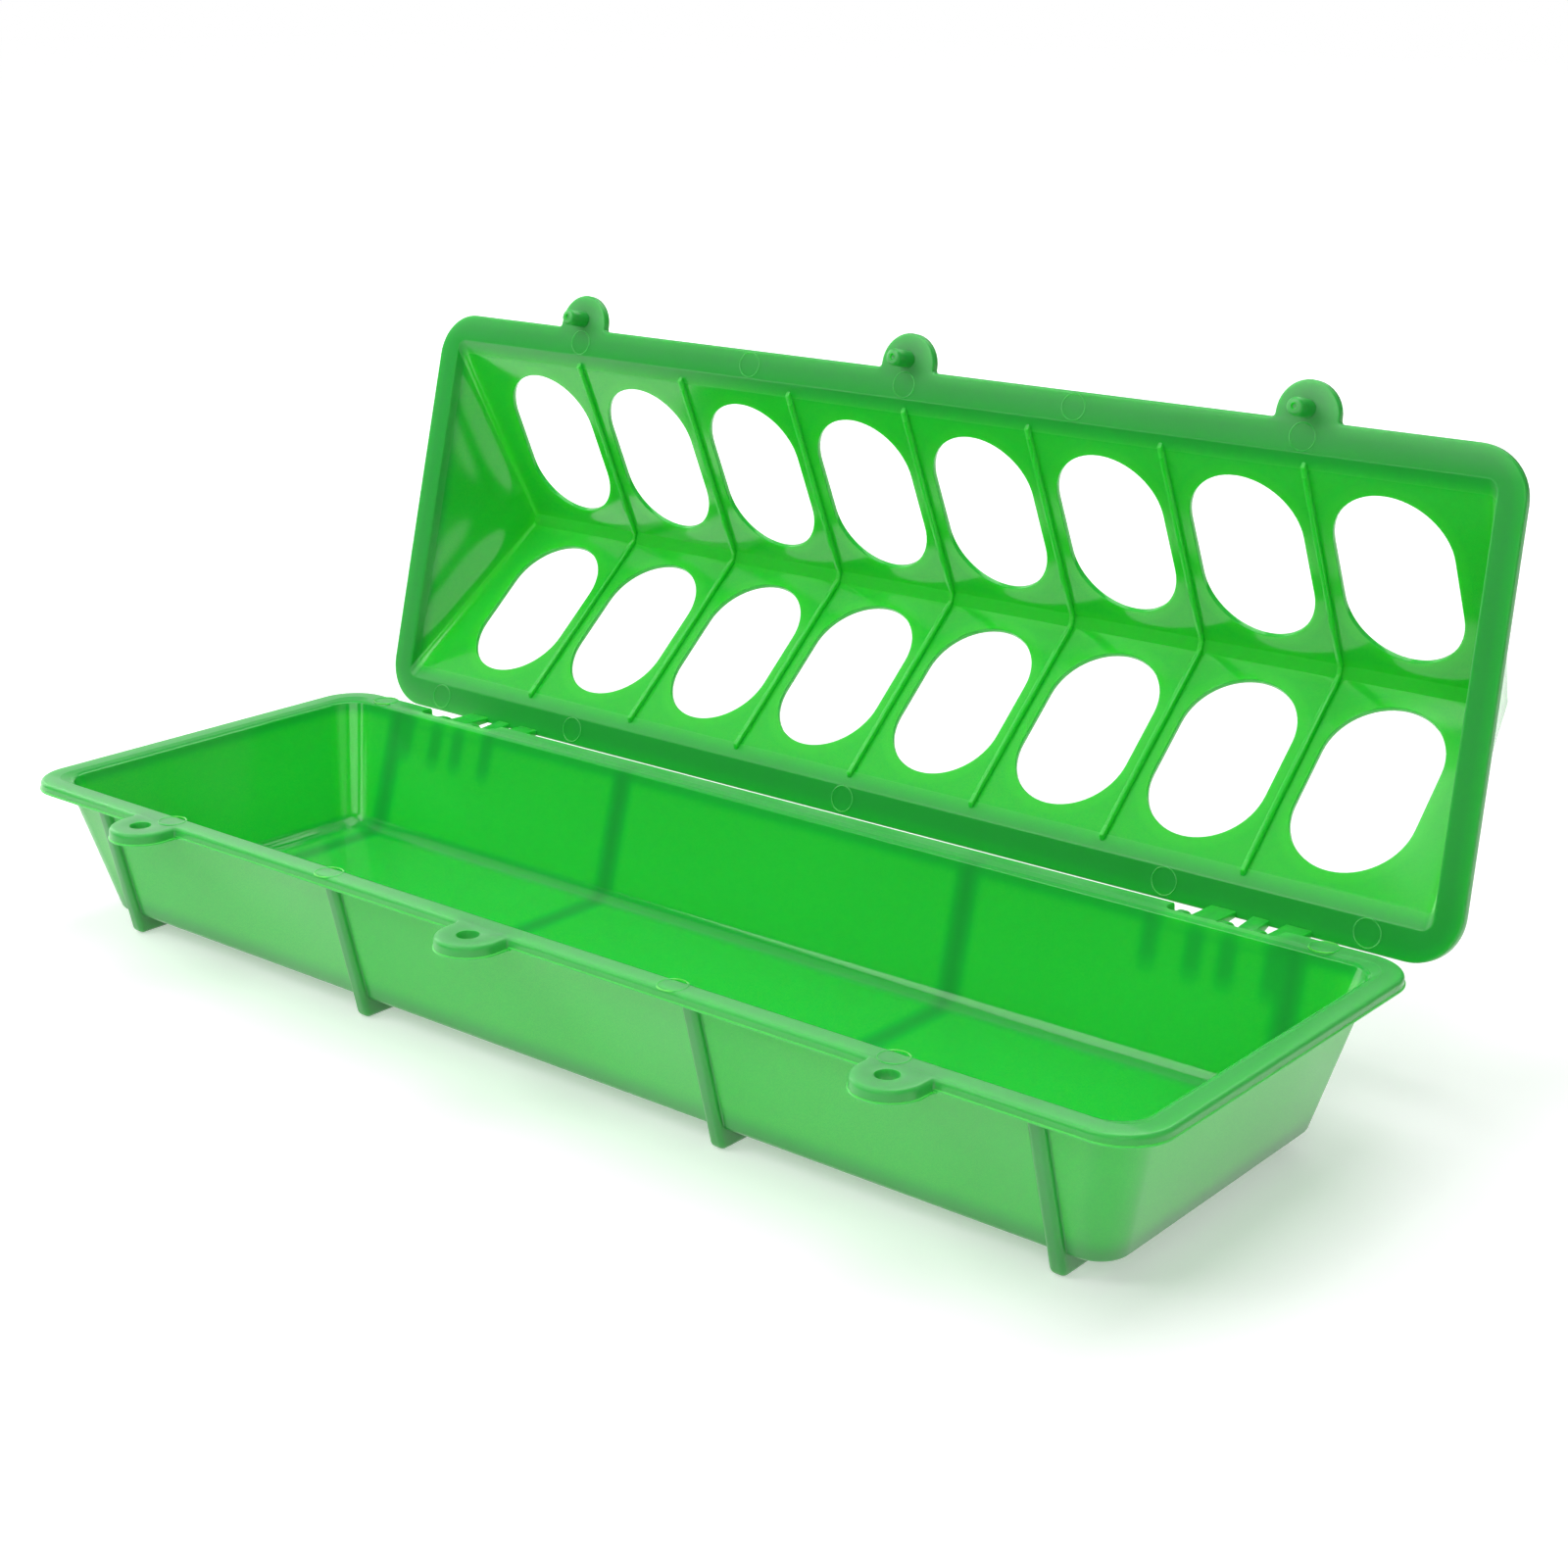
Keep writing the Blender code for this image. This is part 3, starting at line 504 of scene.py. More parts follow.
def mark(x, y, face, out):
    """The raised ring that an ejector pin leaves on a level face; out is 1 up and -1 down."""
    outer = MARK_RADIUS
    inner = MARK_RADIUS - MARK_RING_WIDTH
    crest = (outer + inner) / 2
    section = ((outer, -MARK_PROUD), (outer, MARK_PROUD / 3), (crest, MARK_PROUD),
               (inner, MARK_PROUD / 3), (inner, -MARK_PROUD))
    points = []
    for step in range(ROUND_STEPS):
        turn = 2 * math.pi * step / ROUND_STEPS
        points += [(x + radius * math.cos(turn), y + radius * math.sin(turn), face + out * rise)
                   for radius, rise in section]
    count = len(section)
    faces = []
    for step in range(ROUND_STEPS):
        here = step * count
        there = (step + 1) % ROUND_STEPS * count
        for index in range(count):
            following = (index + 1) % count
            faces.append([here + index, here + following, there + following, there + index])
    return new_object("mark", points, faces)


def mirrored(offset):
    return (-offset, offset)


def eye_places():
    outer = RIM_LENGTH / 2 - EYE_FROM_END
    return (-outer, 0.0, outer)


def hinge_stations():
    return mirrored(RIM_LENGTH / 2 - HINGE_FROM_END)


def build_trough(material):
    trough = trough_body()
    add(trough, [eye_tab(x) for x in eye_places()])
    cut(trough, [eye_hole(x) for x in eye_places()])
    cut(trough, [rim_notch(station) for station in hinge_stations()])
    ribs = mirrored(RIB_SPACING / 2) + mirrored(RIM_LENGTH / 2 - OUTER_RIB_FROM_END)
    add(trough, [trough_rib(x) for x in ribs])
    for station in hinge_stations():
        offsets = mirrored(INNER_KNUCKLE_OFFSET) + mirrored(OUTER_KNUCKLE_OFFSET)
        add(trough, [knuckle(station + offset) for offset in offsets])
        add(trough, [hinge_pin(station)])
    add(trough, [mark(x, y, RIM_HEIGHT, 1) for x, y in TROUGH_MARKS])
    finish_mesh(trough, material)
    return trough


# Lid, built closed over the trough

def roof_height():
    return SLOPE_LENGTH * math.sin(ROOF_SLOPE)


def roof_ring(rise, offset):
    """Half length, half width and corner radius of the roof at one height, moved outwards."""
    share = min(max(rise / roof_height(), 0.0), 1.0)
    radius = ROOF_CORNER_RADIUS + share * (RIDGE_CORNER_RADIUS - ROOF_CORNER_RADIUS)
    slope_run = rise / math.tan(ROOF_SLOPE)
    end_run = rise * math.tan(ROOF_END_LEAN)
    half_width = ROOF_FOOT_HALF_WIDTH - slope_run + offset / math.sin(ROOF_SLOPE)
    half_length = ROOF_FOOT_HALF_LENGTH - end_run + offset / math.cos(ROOF_END_LEAN)
    return half_length, half_width, radius + offset


def flange_edge():
    """The rounded edge round the flange and its ears, as (inset, z) points."""
    bend = FLANGE_EDGE_RADIUS
    low = (bend, LID_UNDERSIDE + bend)
    high = (bend, LID_UNDERSIDE + FLANGE_THICKNESS - bend)
    edge = arc(low, bend, 1.5 * math.pi, math.pi, EDGE_STEPS)
    return edge + arc(high, bend, math.pi, math.pi / 2, EDGE_STEPS)


def lid_body():
    """Inner ridge down to the flange's face, round its edge and up the outside of the roof."""
    half_length = LID_LENGTH / 2
    half_width = LID_WIDTH / 2
    flange_top = LID_UNDERSIDE + FLANGE_THICKNESS
    peak = roof_height()
    rings = [roof_ring(peak, 0.0) + (LID_UNDERSIDE + peak,)]
    for step in range(EDGE_STEPS + 1):
        angle = ROOF_SLOPE * (1 - step / EDGE_STEPS)
        tangent = ROOF_ROOT_RADIUS * math.tan(ROOF_SLOPE / 2)
        rise = ROOF_ROOT_RADIUS * (1 - math.cos(angle))
        run = tangent - ROOF_ROOT_RADIUS * math.sin(angle)
        length, width, radius = roof_ring(0.0, 0.0)
        rings.append((length + run, width + run, radius + run, LID_UNDERSIDE + rise))
    for inset, z in flange_edge():
        rings.append((half_length - inset, half_width - inset, LID_CORNER_RADIUS - inset, z))
    for step in range(EDGE_STEPS + 1):
        share = step / EDGE_STEPS
        rise = FLANGE_THICKNESS + FLANGE_ROOT_FILLET * share ** 2
        length, width, radius = roof_ring(rise, ROOF_THICKNESS)
        flare = FLANGE_ROOT_FILLET * (1 - share)
        rings.append((length + flare, width + flare, radius + flare, LID_UNDERSIDE + rise))
    outer_rise = peak + ROOF_THICKNESS
    for rise, draw in ((outer_rise - EDGE_BEVEL, 0.0), (outer_rise, EDGE_BEVEL)):
        length, width, radius = roof_ring(rise, ROOF_THICKNESS)
        rings.append((length - draw, width - draw, radius - draw, LID_UNDERSIDE + rise))
    solid = [rounded_rectangle(length, width, radius, z) for length, width, radius, z in rings]
    return loft("lid_shell", solid)


def slope_point(up_slope, lift):
    """The (y, z) of a point up the front slope, lifted off its inner face."""
    y = -ROOF_FOOT_HALF_WIDTH + up_slope * math.cos(ROOF_SLOPE) - lift * math.sin(ROOF_SLOPE)
    z = LID_UNDERSIDE + up_slope * math.sin(ROOF_SLOPE) + lift * math.cos(ROOF_SLOPE)
    return y, z


def feeding_hole(x, side):
    """Cutter for one round-ended hole; its ends flare, so that the hole's edges are rounded."""
    radius = min(HOLE_WIDTH, HOLE_LENGTH) / 2
    centre = HOLE_FOOT_MARGIN + HOLE_LENGTH / 2
    quarter = math.pi / 2
    bend = HOLE_EDGE_RADIUS
    levels = [(bend + CUT_OVERRUN, -CUT_OVERRUN)]
    levels += [(bend - bend * math.sin(a), bend - bend * math.cos(a)) for a in HOLE_EDGE_TURNS]
    levels += [(bend - bend * math.sin(a), ROOF_THICKNESS - bend + bend * math.cos(a))
               for a in HOLE_EDGE_TURNS[::-1]]
    levels += [(bend + CUT_OVERRUN, ROOF_THICKNESS + CUT_OVERRUN)]
    rings = []
    for grow, lift in levels:
        ring = []
        for turn, (side_x, side_y) in enumerate(((1, 1), (-1, 1), (-1, -1), (1, -1))):
            pivot = (side_x * (HOLE_WIDTH / 2 - radius), side_y * (HOLE_LENGTH / 2 - radius))
            corner = arc(pivot, radius + grow, turn * quarter, (turn + 1) * quarter,
                         HOLE_END_STEPS)
            for across, along in corner:
                y, z = slope_point(centre + along, lift)
                ring.append((x + across, side * y, z))
        rings.append(ring)
    return loft("feeding_hole", rings)


def roof_rib(x):
    """Thin rib with a rounded crest under both slopes."""
    foot = ROOF_RIB_FOOT_GAP
    inner = [slope_point(foot, FUSE_DEPTH), slope_point(foot + ROOF_RIB_PROUD, -ROOF_RIB_PROUD),
             slope_point(SLOPE_LENGTH, -ROOF_RIB_PROUD)]
    ridge_y, ridge_z = slope_point(SLOPE_LENGTH, FUSE_DEPTH)
    back = [(-y, z) for y, z in inner]
    outline = inner + back[::-1] + [(-ridge_y, ridge_z), (ridge_y, ridge_z)]
    return prism_along_x("roof_rib", outline, x, ROOF_RIB_WIDTH)


def peg(x):
    """Round peg with a rounded tip and a small dimple in it."""
    top = LID_UNDERSIDE + FUSE_DEPTH
    tip = LID_UNDERSIDE - PEG_LENGTH
    bend = PEG_TIP_RADIUS
    levels = [(PEG_RADIUS, top), (PEG_RADIUS, tip + bend)]
    levels += [(PEG_RADIUS - bend + bend * math.cos(a), tip + bend - bend * math.sin(a))
               for a in PEG_TIP_TURNS]
    levels += [(DIMPLE_MOUTH_RADIUS, tip), (DIMPLE_FOOT_RADIUS, tip + DIMPLE_FOOT_DEPTH),
               (DIMPLE_TIP_RADIUS, tip + DIMPLE_DEPTH)]
    rings = []
    for radius, z in levels:
        circle = arc((x, PEG_Y), radius, 0.0, 2 * math.pi, ROUND_STEPS)[:-1]
        rings.append([(px, py, z) for px, py in circle])
    return loft("peg", rings)


def hook_root():
    """The two faces of a hook where it leaves the flange, as y about the pin."""
    far = LID_WIDTH / 2 - HOOK_EDGE_SETBACK - PIN_Y
    return far - HOOK_THICKNESS, far


def outer_hook_outline():
    """(y, z) points about the pin of a hook that passes in front of it and wraps it from below."""
    near, far = hook_root()
    root_z = LID_UNDERSIDE + FUSE_DEPTH - PIN_Z
    start, end = OUTER_HOOK_WRAP
    outline = [(far, root_z), (near, root_z)]
    outline += arc((0.0, 0.0), HOOK_OUTER_RADIUS, math.pi, end, ARC_STEPS)
    outline += arc((0.0, 0.0), HOOK_INNER_RADIUS, end, start, ARC_STEPS)
    return outline


def middle_hook_outline():
    """(y, z) points about the pin of a hook that passes over it and wraps it from behind."""
    near, far = hook_root()
    root_z = LID_UNDERSIDE + FUSE_DEPTH - PIN_Z
    start, end = MIDDLE_HOOK_WRAP
    outline = [(near, root_z), (far, root_z)]
    outline += arc((0.0, 0.0), HOOK_OUTER_RADIUS, MIDDLE_HOOK_JOIN, end, ARC_STEPS)
    outline += arc((0.0, 0.0), HOOK_INNER_RADIUS, end, start, ARC_STEPS)
    outline += [(HOOK_OUTER_RADIUS * math.cos(start), HOOK_OUTER_RADIUS * math.sin(start))]
    return outline


def hook(x, outline, width):
    placed = [(PIN_Y + y, PIN_Z + z) for y, z in outline]
    return prism_along_x("hook", placed, x, width)


def hinge_hooks(station):
    hooks = [hook(station + offset, outer_hook_outline(), OUTER_HOOK_WIDTH)
             for offset in mirrored(OUTER_HOOK_OFFSET)]
    hooks.append(hook(station, middle_hook_outline(), MIDDLE_HOOK_WIDTH))
    return hooks


def build_lid(material):
    lid = lid_body()
    add(lid, [ear_tab(x) for x in eye_places()])
    middle = (HOLES_PER_SIDE - 1) / 2
    add(lid, [roof_rib((index + 1 / 2 - middle) * HOLE_PITCH)
              for index in range(HOLES_PER_SIDE - 1)])
    for side in (1, -1):
        cut(lid, [feeding_hole((index - middle) * HOLE_PITCH, side)
                  for index in range(HOLES_PER_SIDE)])
    for station in hinge_stations():
        add(lid, hinge_hooks(station))
    add(lid, [peg(x) for x in eye_places()])
    front = -LID_WIDTH / 2 + LID_FRONT_MARK_INSET
    back = LID_WIDTH / 2 - LID_BACK_MARK_INSET
    add(lid, [mark(x, front, LID_UNDERSIDE, -1) for x in LID_FRONT_MARKS])
    add(lid, [mark(x, back, LID_UNDERSIDE, -1) for x in LID_BACK_MARKS])
    finish_mesh(lid, material)
    return lid


def place(item, pin_turn):
    """Move a piece from the trough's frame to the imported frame, turned about the hinge pins."""
    pin = Matrix.Translation((0.0, PIN_Y, PIN_Z))
    turned = pin @ Matrix.Rotation(pin_turn, 4, "X") @ pin.inverted()
    item.data.transform(Matrix.Translation((0.0, Y_SHIFT, 0.0)) @ turned)


# Materials

# How much plastic lies within the reach behind a point, from 0 at a thin edge to 1 in a thick
# body, and the tone at each step. The tone is partly the plastic's own deeper colour where it is
# thick and partly painted light: painted light shining through thin walls and glowing at thin
# edges, and painted shadow where ribs and knuckles stand behind a wall
DEPTH_REACH = 0.003
DEPTH_SAMPLES = 6
TROUGH_COLOUR_AND_THROUGH_LIGHT = ((0.02, (0.080, 0.780, 0.055, 1.0)), (0.14, (0.010, 0.640, 0.050, 1.0)),
                (0.28, (0.008, 0.550, 0.048, 1.0)), (0.55, (0.010, 0.450, 0.050, 1.0)),
                (0.95, (0.010, 0.360, 0.046, 1.0)))
LID_COLOUR_AND_THROUGH_LIGHT = ((0.02, (0.080, 0.760, 0.052, 1.0)), (0.10, (0.010, 0.600, 0.048, 1.0)),
             (0.28, (0.009, 0.520, 0.046, 1.0)), (0.55, (0.014, 0.400, 0.050, 1.0)),
             (0.95, (0.014, 0.400, 0.048, 1.0)))

# Painted sheen: the pale colour added to the tone where it stands in for reflected light, how
# much of it the trough's satin outside has, and where it begins and ends on the top of the front
# rim and the ears
PAINTED_SHEEN = (0.090, 0.040, 0.090)
OUTSIDE_SHEEN_SHARE = 0.32
RIM_SHEEN_DEPTH = (-0.0004, 0.0016)
RIM_SHEEN_HEIGHT = (-0.0010, 0.0003)
EAR_SHEEN_WIDTH = 0.0100
# Cosines between which a surface turns away from a direction
FACING_RANGE = (0.75, 0.97)

# Roughness, and where it changes: shares of the wall's thickness, and widths of the change
SATIN_ROUGHNESS = 0.33
POLISHED_ROUGHNESS = 0.09
HAZE_ROUGHNESS = 0.05
POLISH_SHARES = (0.8, 0.3)
FLOOR_POLISH_WIDTH = 0.0002
ROOF_POLISH_WIDTH = 0.0005

# Noise: the flow of the plastic in its tone, haze in its roughness and grain in its surface
FLOW_SCALE = 9.0
FLOW_DETAIL = 3.0
FLOW_RANGE = (0.3, 0.7)
FLOW_SHADES = (0.96, 1.03)
HAZE_SCALE = 55.0
HAZE_DETAIL = 4.0
GRAIN_SCALE = 1400.0
GRAIN_DETAIL = 2.0
GRAIN_STRENGTH = 0.005
GRAIN_HEIGHT = 0.0002
SCATTER_RADIUS = (0.25, 1.0, 0.25)
SCATTER_DEPTH = 0.0025
PLASTIC_IOR = 1.5


class Graph:
    """Short ways to add nodes to a node tree; each value is a number, a vector or a socket."""

    def __init__(self, tree):
        self.nodes = tree.nodes
        self.links = tree.links

    def feed(self, node, inputs):
        for key, value in inputs.items():
            if isinstance(value, bpy.types.NodeSocket):
                self.links.new(value, node.inputs[key])
            else:
                node.inputs[key].default_value = value
        return node

    def node(self, kind, inputs):
        return self.feed(self.nodes.new(kind), inputs)

    def scalar(self, operation, *values, clamp=False):
        node = self.nodes.new("ShaderNodeMath")
        node.operation = operation
        node.use_clamp = clamp
        return self.feed(node, dict(enumerate(values))).outputs["Value"]

    def vector_node(self, operation, inputs):
        node = self.nodes.new("ShaderNodeVectorMath")
        node.operation = operation
        return self.feed(node, inputs)

    def vector(self, operation, *values):
        return self.vector_node(operation, dict(enumerate(values))).outputs["Vector"]

    def measure(self, operation, *values):
        """A vector operation whose result is a number."""
        return self.vector_node(operation, dict(enumerate(values))).outputs["Value"]

    def scaled(self, vector, factor):
        return self.vector_node("SCALE", {0: vector, "Scale": factor}).outputs["Vector"]

    def ramp(self, value, start, end, low=0.0, high=1.0):
        """Low up to the start, high from the end on, and straight between them."""
        inputs = {"Value": value, "From Min": start, "From Max": end,
                  "To Min": low, "To Max": high}
        return self.node("ShaderNodeMapRange", inputs).outputs["Result"]

    def noise(self, place_at, scale, detail):
        inputs = {"Vector": place_at, "Scale": scale, "Detail": detail}
        return self.node("ShaderNodeTexNoise", inputs).outputs["Fac"]


def facing(graph, normal, direction):
    """1 where the surface faces the direction, 0 where it turns away from it."""
    toward = graph.measure("DOT_PRODUCT", normal, tuple(direction))
    return graph.ramp(toward, *FACING_RANGE)


def trough_polish(graph, place_at):
    """1 on the polished inside of the walls and floor, 0 on the satin outside, rim and eyes.

    The walls' outer face is a rounded rectangle that grows with height. A point on the inside lies
    a wall's thickness within it.
    """
    centred = graph.vector("SUBTRACT", place_at, (0.0, Y_SHIFT, 0.0))
    one_side = graph.vector("ABSOLUTE", centred)
    height = graph.node("ShaderNodeSeparateXYZ", {"Vector": one_side}).outputs["Z"]
    tall = graph.node("ShaderNodeCombineXYZ", {"X": height, "Y": height, "Z": height})
    low = Vector((wall_half_length(0.0), wall_half_width(0.0), 0.0))
    low_radius = wall_corner_radius(0.0)
    growth = Vector((wall_half_length(1.0), wall_half_width(1.0), 0.0)) - low
    radius_growth = wall_corner_radius(1.0) - low_radius
    square = Vector((1.0, 1.0, 0.0))
    core = graph.vector("MULTIPLY_ADD", tall.outputs["Vector"],
                        tuple(growth - radius_growth * square), tuple(low - low_radius * square))
    past = graph.vector("SUBTRACT", one_side, core)
    level = graph.vector("MULTIPLY", past, tuple(square))
    corner = graph.vector("MAXIMUM", level, (0.0, 0.0, 0.0))
    minus_radius = graph.scalar("MULTIPLY_ADD", height, -radius_growth, -low_radius)
    outward = graph.scalar("ADD", graph.measure("LENGTH", corner), minus_radius)
    inner, outer = (-share * WALL_THICKNESS for share in POLISH_SHARES)
    within = graph.ramp(outward, inner, outer, 1.0, 0.0)
    floor_middle = FOOT_HEIGHT + FLOOR_THICKNESS / 2
    under = graph.ramp(height, floor_middle, floor_middle + FLOOR_POLISH_WIDTH, 1.0, 0.0)
    return graph.scalar("SUBTRACT", within, under, clamp=True)


def trough_painted_sheen(graph, place_at, normal, polished):
    """Share of painted sheen: 1 on the top of the front rim and its eyes, and the outside share on
    the other satin faces.
    """
    parts = graph.node("ShaderNodeSeparateXYZ", {"Vector": place_at})
    wall = Y_SHIFT - WALL_TOP_HALF_WIDTH
    nearest, farthest = (wall + step for step in RIM_SHEEN_DEPTH)
    lowest, highest = (RIM_BOTTOM + step for step in RIM_SHEEN_HEIGHT)
    front = graph.ramp(parts.outputs["Y"], nearest, farthest, 1.0, 0.0)
    high = graph.ramp(parts.outputs["Z"], lowest, highest)
    rim = graph.scalar("MULTIPLY", front, high)
    top = graph.scalar("MULTIPLY", rim, facing(graph, normal, (0.0, 0.0, 1.0)))
    satin = graph.scalar("SUBTRACT", 1.0, polished)
    outside = graph.scalar("MULTIPLY", satin, OUTSIDE_SHEEN_SHARE)
    return graph.scalar("MAXIMUM", top, outside)


def trough_polish_and_sheen(graph, place_at, normal):
    """Two sockets: how polished the trough is, and how strong the painted sheen on it is."""
    polished = trough_polish(graph, place_at)
    return polished, trough_painted_sheen(graph, place_at, normal, polished)


def opened(direction):
    """A direction of the closed lid, as it stands open."""
    return tuple(Matrix.Rotation(-OPEN_ANGLE, 3, "X") @ Vector(direction))


def lid_polish_and_sheen(graph, place_at, normal):
    """Two sockets: 1 on the polished roof, and the painted sheen, rising across the flange to the
    ears.
    """
    from_pin = graph.vector("SUBTRACT", place_at, (0.0, PIN_Y + Y_SHIFT, PIN_Z))
    rise = graph.measure("DOT_PRODUCT", from_pin, opened((0.0, 0.0, 1.0)))
    flange_top = LID_UNDERSIDE + FLANGE_THICKNESS - PIN_Z
    roof = graph.ramp(rise, flange_top, flange_top + ROOF_POLISH_WIDTH)
    reach = graph.measure("DOT_PRODUCT", from_pin, opened((0.0, -1.0, 0.0)))
    foot = PIN_Y + ROOF_FOOT_HALF_WIDTH
    front = graph.ramp(reach, foot, foot + EAR_SHEEN_WIDTH)
    face = facing(graph, normal, opened((0.0, 0.0, -1.0)))
    return roof, graph.scalar("MULTIPLY", front, face)


def green_plastic(name, seed, colour_and_through_light, polish_and_sheen):
    """Moulded plastic that is lighter where it is thin and darker where it is thick.

    The thickness tone is partly the plastic's own deeper colour and partly painted light shining
    through thin parts and painted shadow behind ribs and knuckles. A painted sheen is added on
    top.
    """
    material = bpy.data.materials.new(name)
    material.use_nodes = True
    graph = Graph(material.node_tree)
    where = graph.nodes.new("ShaderNodeTexCoord")
    place_at = where.outputs["Object"]
    # The second socket is the share of painted sheen, a pale colour standing in for reflected
    # light
    polished, painted_sheen_share = polish_and_sheen(graph, place_at, where.outputs["Normal"])

    depth = graph.node("ShaderNodeAmbientOcclusion", {"Distance": DEPTH_REACH})
    depth.inside = True
    depth.only_local = True
    depth.samples = DEPTH_SAMPLES
    # Tone by thickness: partly the plastic's own colour, partly painted light through thin parts
    # and painted shadow behind ribs and knuckles
    thickness_colour_and_light = graph.node("ShaderNodeValToRGB", {"Fac": depth.outputs["AO"]})
    ramp = thickness_colour_and_light.color_ramp
    ramp.elements[0].position, ramp.elements[0].color = colour_and_through_light[0]
    ramp.elements[1].position, ramp.elements[1].color = colour_and_through_light[-1]
    for position, colour in colour_and_through_light[1:-1]:
        ramp.elements.new(position).color = colour
    flow = graph.noise(place_at, FLOW_SCALE + seed, FLOW_DETAIL)
    flowing_colour_and_light = graph.scaled(thickness_colour_and_light.outputs["Color"], graph.ramp(flow, *FLOW_RANGE, *FLOW_SHADES))

    haze = graph.noise(place_at, HAZE_SCALE, HAZE_DETAIL)
    smooth = graph.ramp(polished, 0.0, 1.0, SATIN_ROUGHNESS, POLISHED_ROUGHNESS)
    grain = graph.noise(place_at, GRAIN_SCALE, GRAIN_DETAIL)
    bump = graph.node("ShaderNodeBump", {"Strength": GRAIN_STRENGTH, "Distance": GRAIN_HEIGHT,
                                         "Height": grain})
    # Base colour: the thickness tone with its painted through-light and shadow, plus the painted
    # sheen
    graph.feed(graph.nodes["Principled BSDF"], {
        "Base Color": graph.vector("ADD", flowing_colour_and_light, graph.scaled(PAINTED_SHEEN, painted_sheen_share)),
        "Roughness": graph.scalar("MULTIPLY_ADD", haze, HAZE_ROUGHNESS, smooth),
        "Normal": bump.outputs["Normal"],
        "Subsurface Weight": 1.0,
        "Subsurface Radius": SCATTER_RADIUS,
        "Subsurface Scale": SCATTER_DEPTH,
        "IOR": PLASTIC_IOR})
    return material


# Studio

FLOOR_SIZE = 12.0
FLOOR_DROP = 0.0001
FLOOR_COLOUR = (0.82, 0.82, 0.82, 1.0)
FLOOR_ROUGHNESS = 0.9
# Glow of the floor to the camera, from near the object to far from it, and in reflections
FLOOR_LIFT = (0.38, 1.0)
LIFT_DISTANCES = (0.30, 1.60)
FLOOR_GLOSS = 0.90
# The room in reflections: its level in front and behind, with the change between these Y of a
# direction, and the horizon's level, with the change between these Z
ROOM_GLOSS = 0.10
BACKDROP_GLOSS = 0.35
BACKDROP_RANGE = (-0.3, 0.4)
HORIZON_GLOSS = 0.05
HORIZON_RANGE = (0.06, 0.18)
WHITE = (1.0, 1.0, 1.0, 1.0)
OBJECT_MIDDLE = (0.0, 0.0, 0.03)
# Softboxes, square and aimed at the object: name, place, side, and the brightness of their face
SOFTBOXES = (("top", (0.0, 0.0, 1.3), 0.9, 2.45), ("top_left", (-0.9, 0.0, 1.1), 0.9, 0.54),
             ("top_front", (-0.3, -0.55, 0.66), 0.55, 3.30),
             ("top_back", (0.0, 0.9, 1.1), 0.9, 2.40), ("back_left", (-1.3, 1.2, 0.6), 1.2, 0.58),
             ("front_right", (0.8, -1.3, 0.8), 1.0, 2.40), ("left", (-1.6, 0.0, 0.6), 1.2, 2.30),
             ("right", (1.6, 0.0, 0.6), 1.2, 0.55))


def floor_material():
    """White floor: white to the camera and in reflections, and it keeps the object's shadow."""
    material = bpy.data.materials.new("floor_white")
    material.use_nodes = True
    graph = Graph(material.node_tree)
    path = graph.nodes.new("ShaderNodeLightPath")
    where = graph.nodes.new("ShaderNodeTexCoord")
    distance = graph.measure("LENGTH", where.outputs["Object"])
    lift = graph.ramp(distance, *LIFT_DISTANCES, *FLOOR_LIFT)
    seen = graph.scalar("MULTIPLY", path.outputs["Is Camera Ray"], lift)
    glow = graph.scalar("MULTIPLY_ADD", path.outputs["Is Glossy Ray"], FLOOR_GLOSS, seen)
    graph.feed(graph.nodes["Principled BSDF"], {
        "Base Color": FLOOR_COLOUR, "Roughness": FLOOR_ROUGHNESS, "Specular IOR Level": 0.0,
        "Emission Color": WHITE, "Emission Strength": glow})
    return material


def build_floor():
    half = FLOOR_SIZE / 2
    corners = [(-half, -half, 0.0), (half, -half, 0.0), (half, half, 0.0), (-half, half, 0.0)]
    floor = new_object("floor", corners, [(0, 1, 2, 3)])
    floor.location.z = -FLOOR_DROP
    floor.data.materials.append(floor_material())


def build_world():
    """White to the camera; dim in reflections, a little brighter behind the object."""
    world = bpy.data.worlds.new("studio")
    world.use_nodes = True
    graph = Graph(world.node_tree)
    path = graph.nodes.new("ShaderNodeLightPath")
    way = graph.nodes.new("ShaderNodeTexCoord")
    parts = graph.node("ShaderNodeSeparateXYZ", {"Vector": way.outputs["Generated"]})
    backdrop = graph.ramp(parts.outputs["Y"], *BACKDROP_RANGE, ROOM_GLOSS, BACKDROP_GLOSS)
    room = graph.ramp(parts.outputs["Z"], *HORIZON_RANGE, HORIZON_GLOSS, backdrop)
    mirrored_room = graph.scalar("MULTIPLY", path.outputs["Is Glossy Ray"], room)
    seen = graph.scalar("MAXIMUM", path.outputs["Is Camera Ray"],
                        path.outputs["Is Transmission Ray"])
    strength = graph.scalar("MAXIMUM", seen, mirrored_room)
    graph.feed(graph.nodes["Background"], {"Color": WHITE, "Strength": strength})
    bpy.context.scene.world = world


def softbox(name, place_at, side, level):
    light = bpy.data.lights.new(name, "AREA")
    light.shape = "SQUARE"
    light.size = side
    light.energy = level * math.pi * side ** 2
    item = bpy.data.objects.new(name, light)
    item.location = place_at
    direction = Vector(OBJECT_MIDDLE) - Vector(place_at)
    item.rotation_mode = "QUATERNION"
    item.rotation_quaternion = direction.to_track_quat("-Z", "Y")
    bpy.context.scene.collection.objects.link(item)


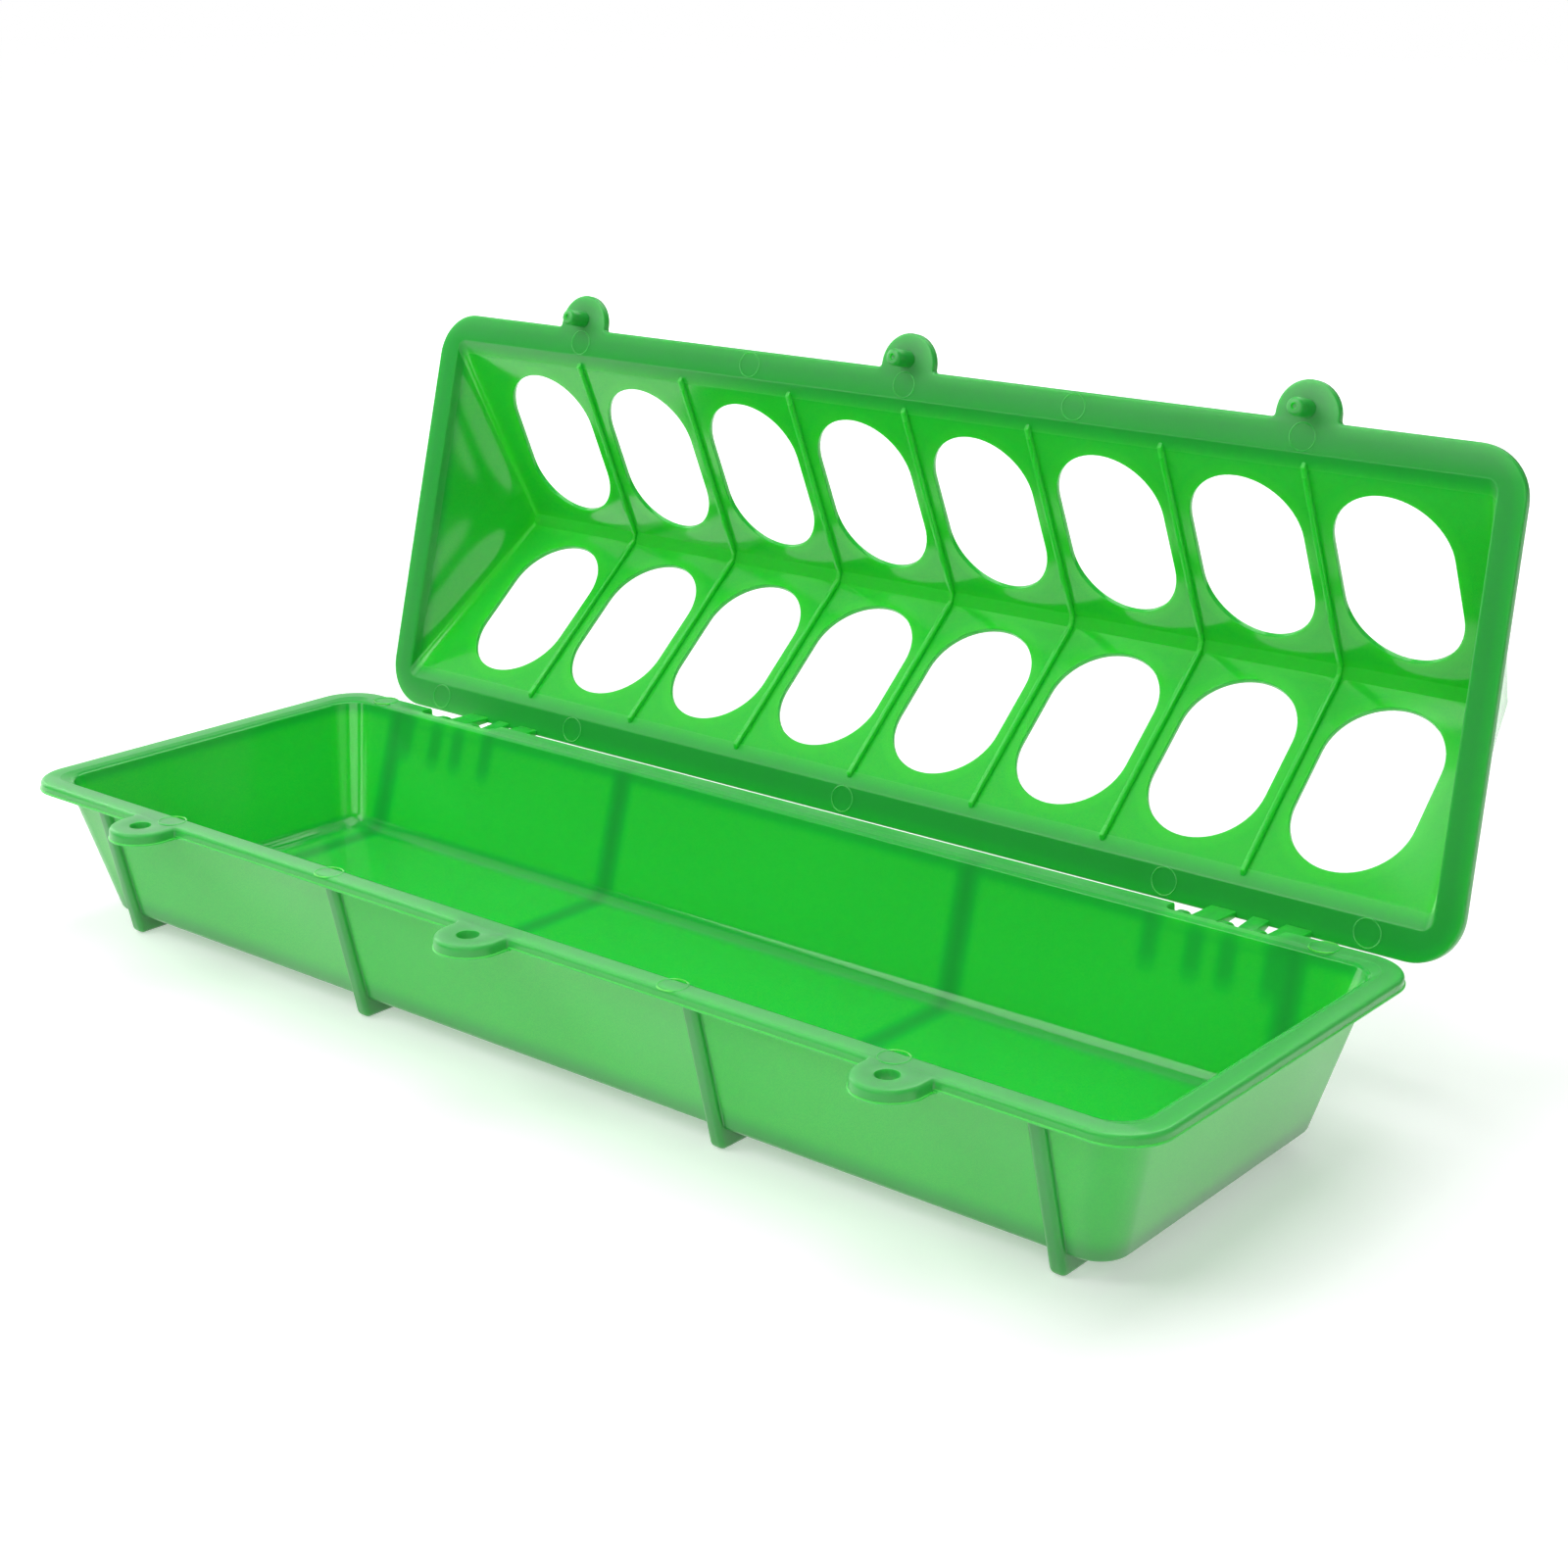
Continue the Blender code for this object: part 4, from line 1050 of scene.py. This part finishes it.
# Camera, recovered from the photograph in the trough's frame
CAMERA_PLACE = (0.35197, -0.38522, 0.21876)
CAMERA_YAW = 0.66928
CAMERA_PITCH = -0.17947
CAMERA_ROLL = 0.00913
FRAME_PIXELS = 1600
FOCAL_PIXELS = 2668.84
CENTRE_PIXELS = (853.73, 452.42)
SENSOR_WIDTH = 36.0
CLIP_START = 0.01
CLIP_END = 50.0


def build_camera():
    camera = bpy.data.cameras.new("camera")
    camera.sensor_fit = "HORIZONTAL"
    camera.sensor_width = SENSOR_WIDTH
    camera.lens = FOCAL_PIXELS / FRAME_PIXELS * SENSOR_WIDTH
    camera.shift_x = (FRAME_PIXELS / 2 - CENTRE_PIXELS[0]) / FRAME_PIXELS
    camera.shift_y = (CENTRE_PIXELS[1] - FRAME_PIXELS / 2) / FRAME_PIXELS
    camera.clip_start = CLIP_START
    camera.clip_end = CLIP_END
    forward = Vector((-math.sin(CAMERA_YAW) * math.cos(CAMERA_PITCH),
                      math.cos(CAMERA_YAW) * math.cos(CAMERA_PITCH), math.sin(CAMERA_PITCH)))
    level = Vector((math.cos(CAMERA_YAW), math.sin(CAMERA_YAW), 0.0))
    upright = level.cross(forward)
    right = math.cos(CAMERA_ROLL) * level + math.sin(CAMERA_ROLL) * upright
    up = math.cos(CAMERA_ROLL) * upright - math.sin(CAMERA_ROLL) * level
    turn = Matrix((right, up, -forward)).transposed().to_4x4()
    item = bpy.data.objects.new("camera", camera)
    centre = Vector(CAMERA_PLACE) + Vector((0.0, Y_SHIFT, 0.0))
    item.matrix_world = Matrix.Translation(centre) @ turn
    bpy.context.scene.collection.objects.link(item)
    bpy.context.scene.camera = item


build_camera()
build_world()
build_floor()
for light_name, light_place, light_side, light_level in SOFTBOXES:
    softbox(light_name, light_place, light_side, light_level)

trough_shell = build_trough(green_plastic("trough_green", 0.0, TROUGH_COLOUR_AND_THROUGH_LIGHT, trough_polish_and_sheen))
place(trough_shell, 0.0)
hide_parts("trough")
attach(trough_shell, "trough")

lid_shell = build_lid(green_plastic("lid_green", 1.0, LID_COLOUR_AND_THROUGH_LIGHT, lid_polish_and_sheen))
place(lid_shell, -OPEN_ANGLE)
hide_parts("lid")
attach(lid_shell, "lid")

bpy.context.scene.view_settings.view_transform = "Standard"
bpy.context.view_layer.update()
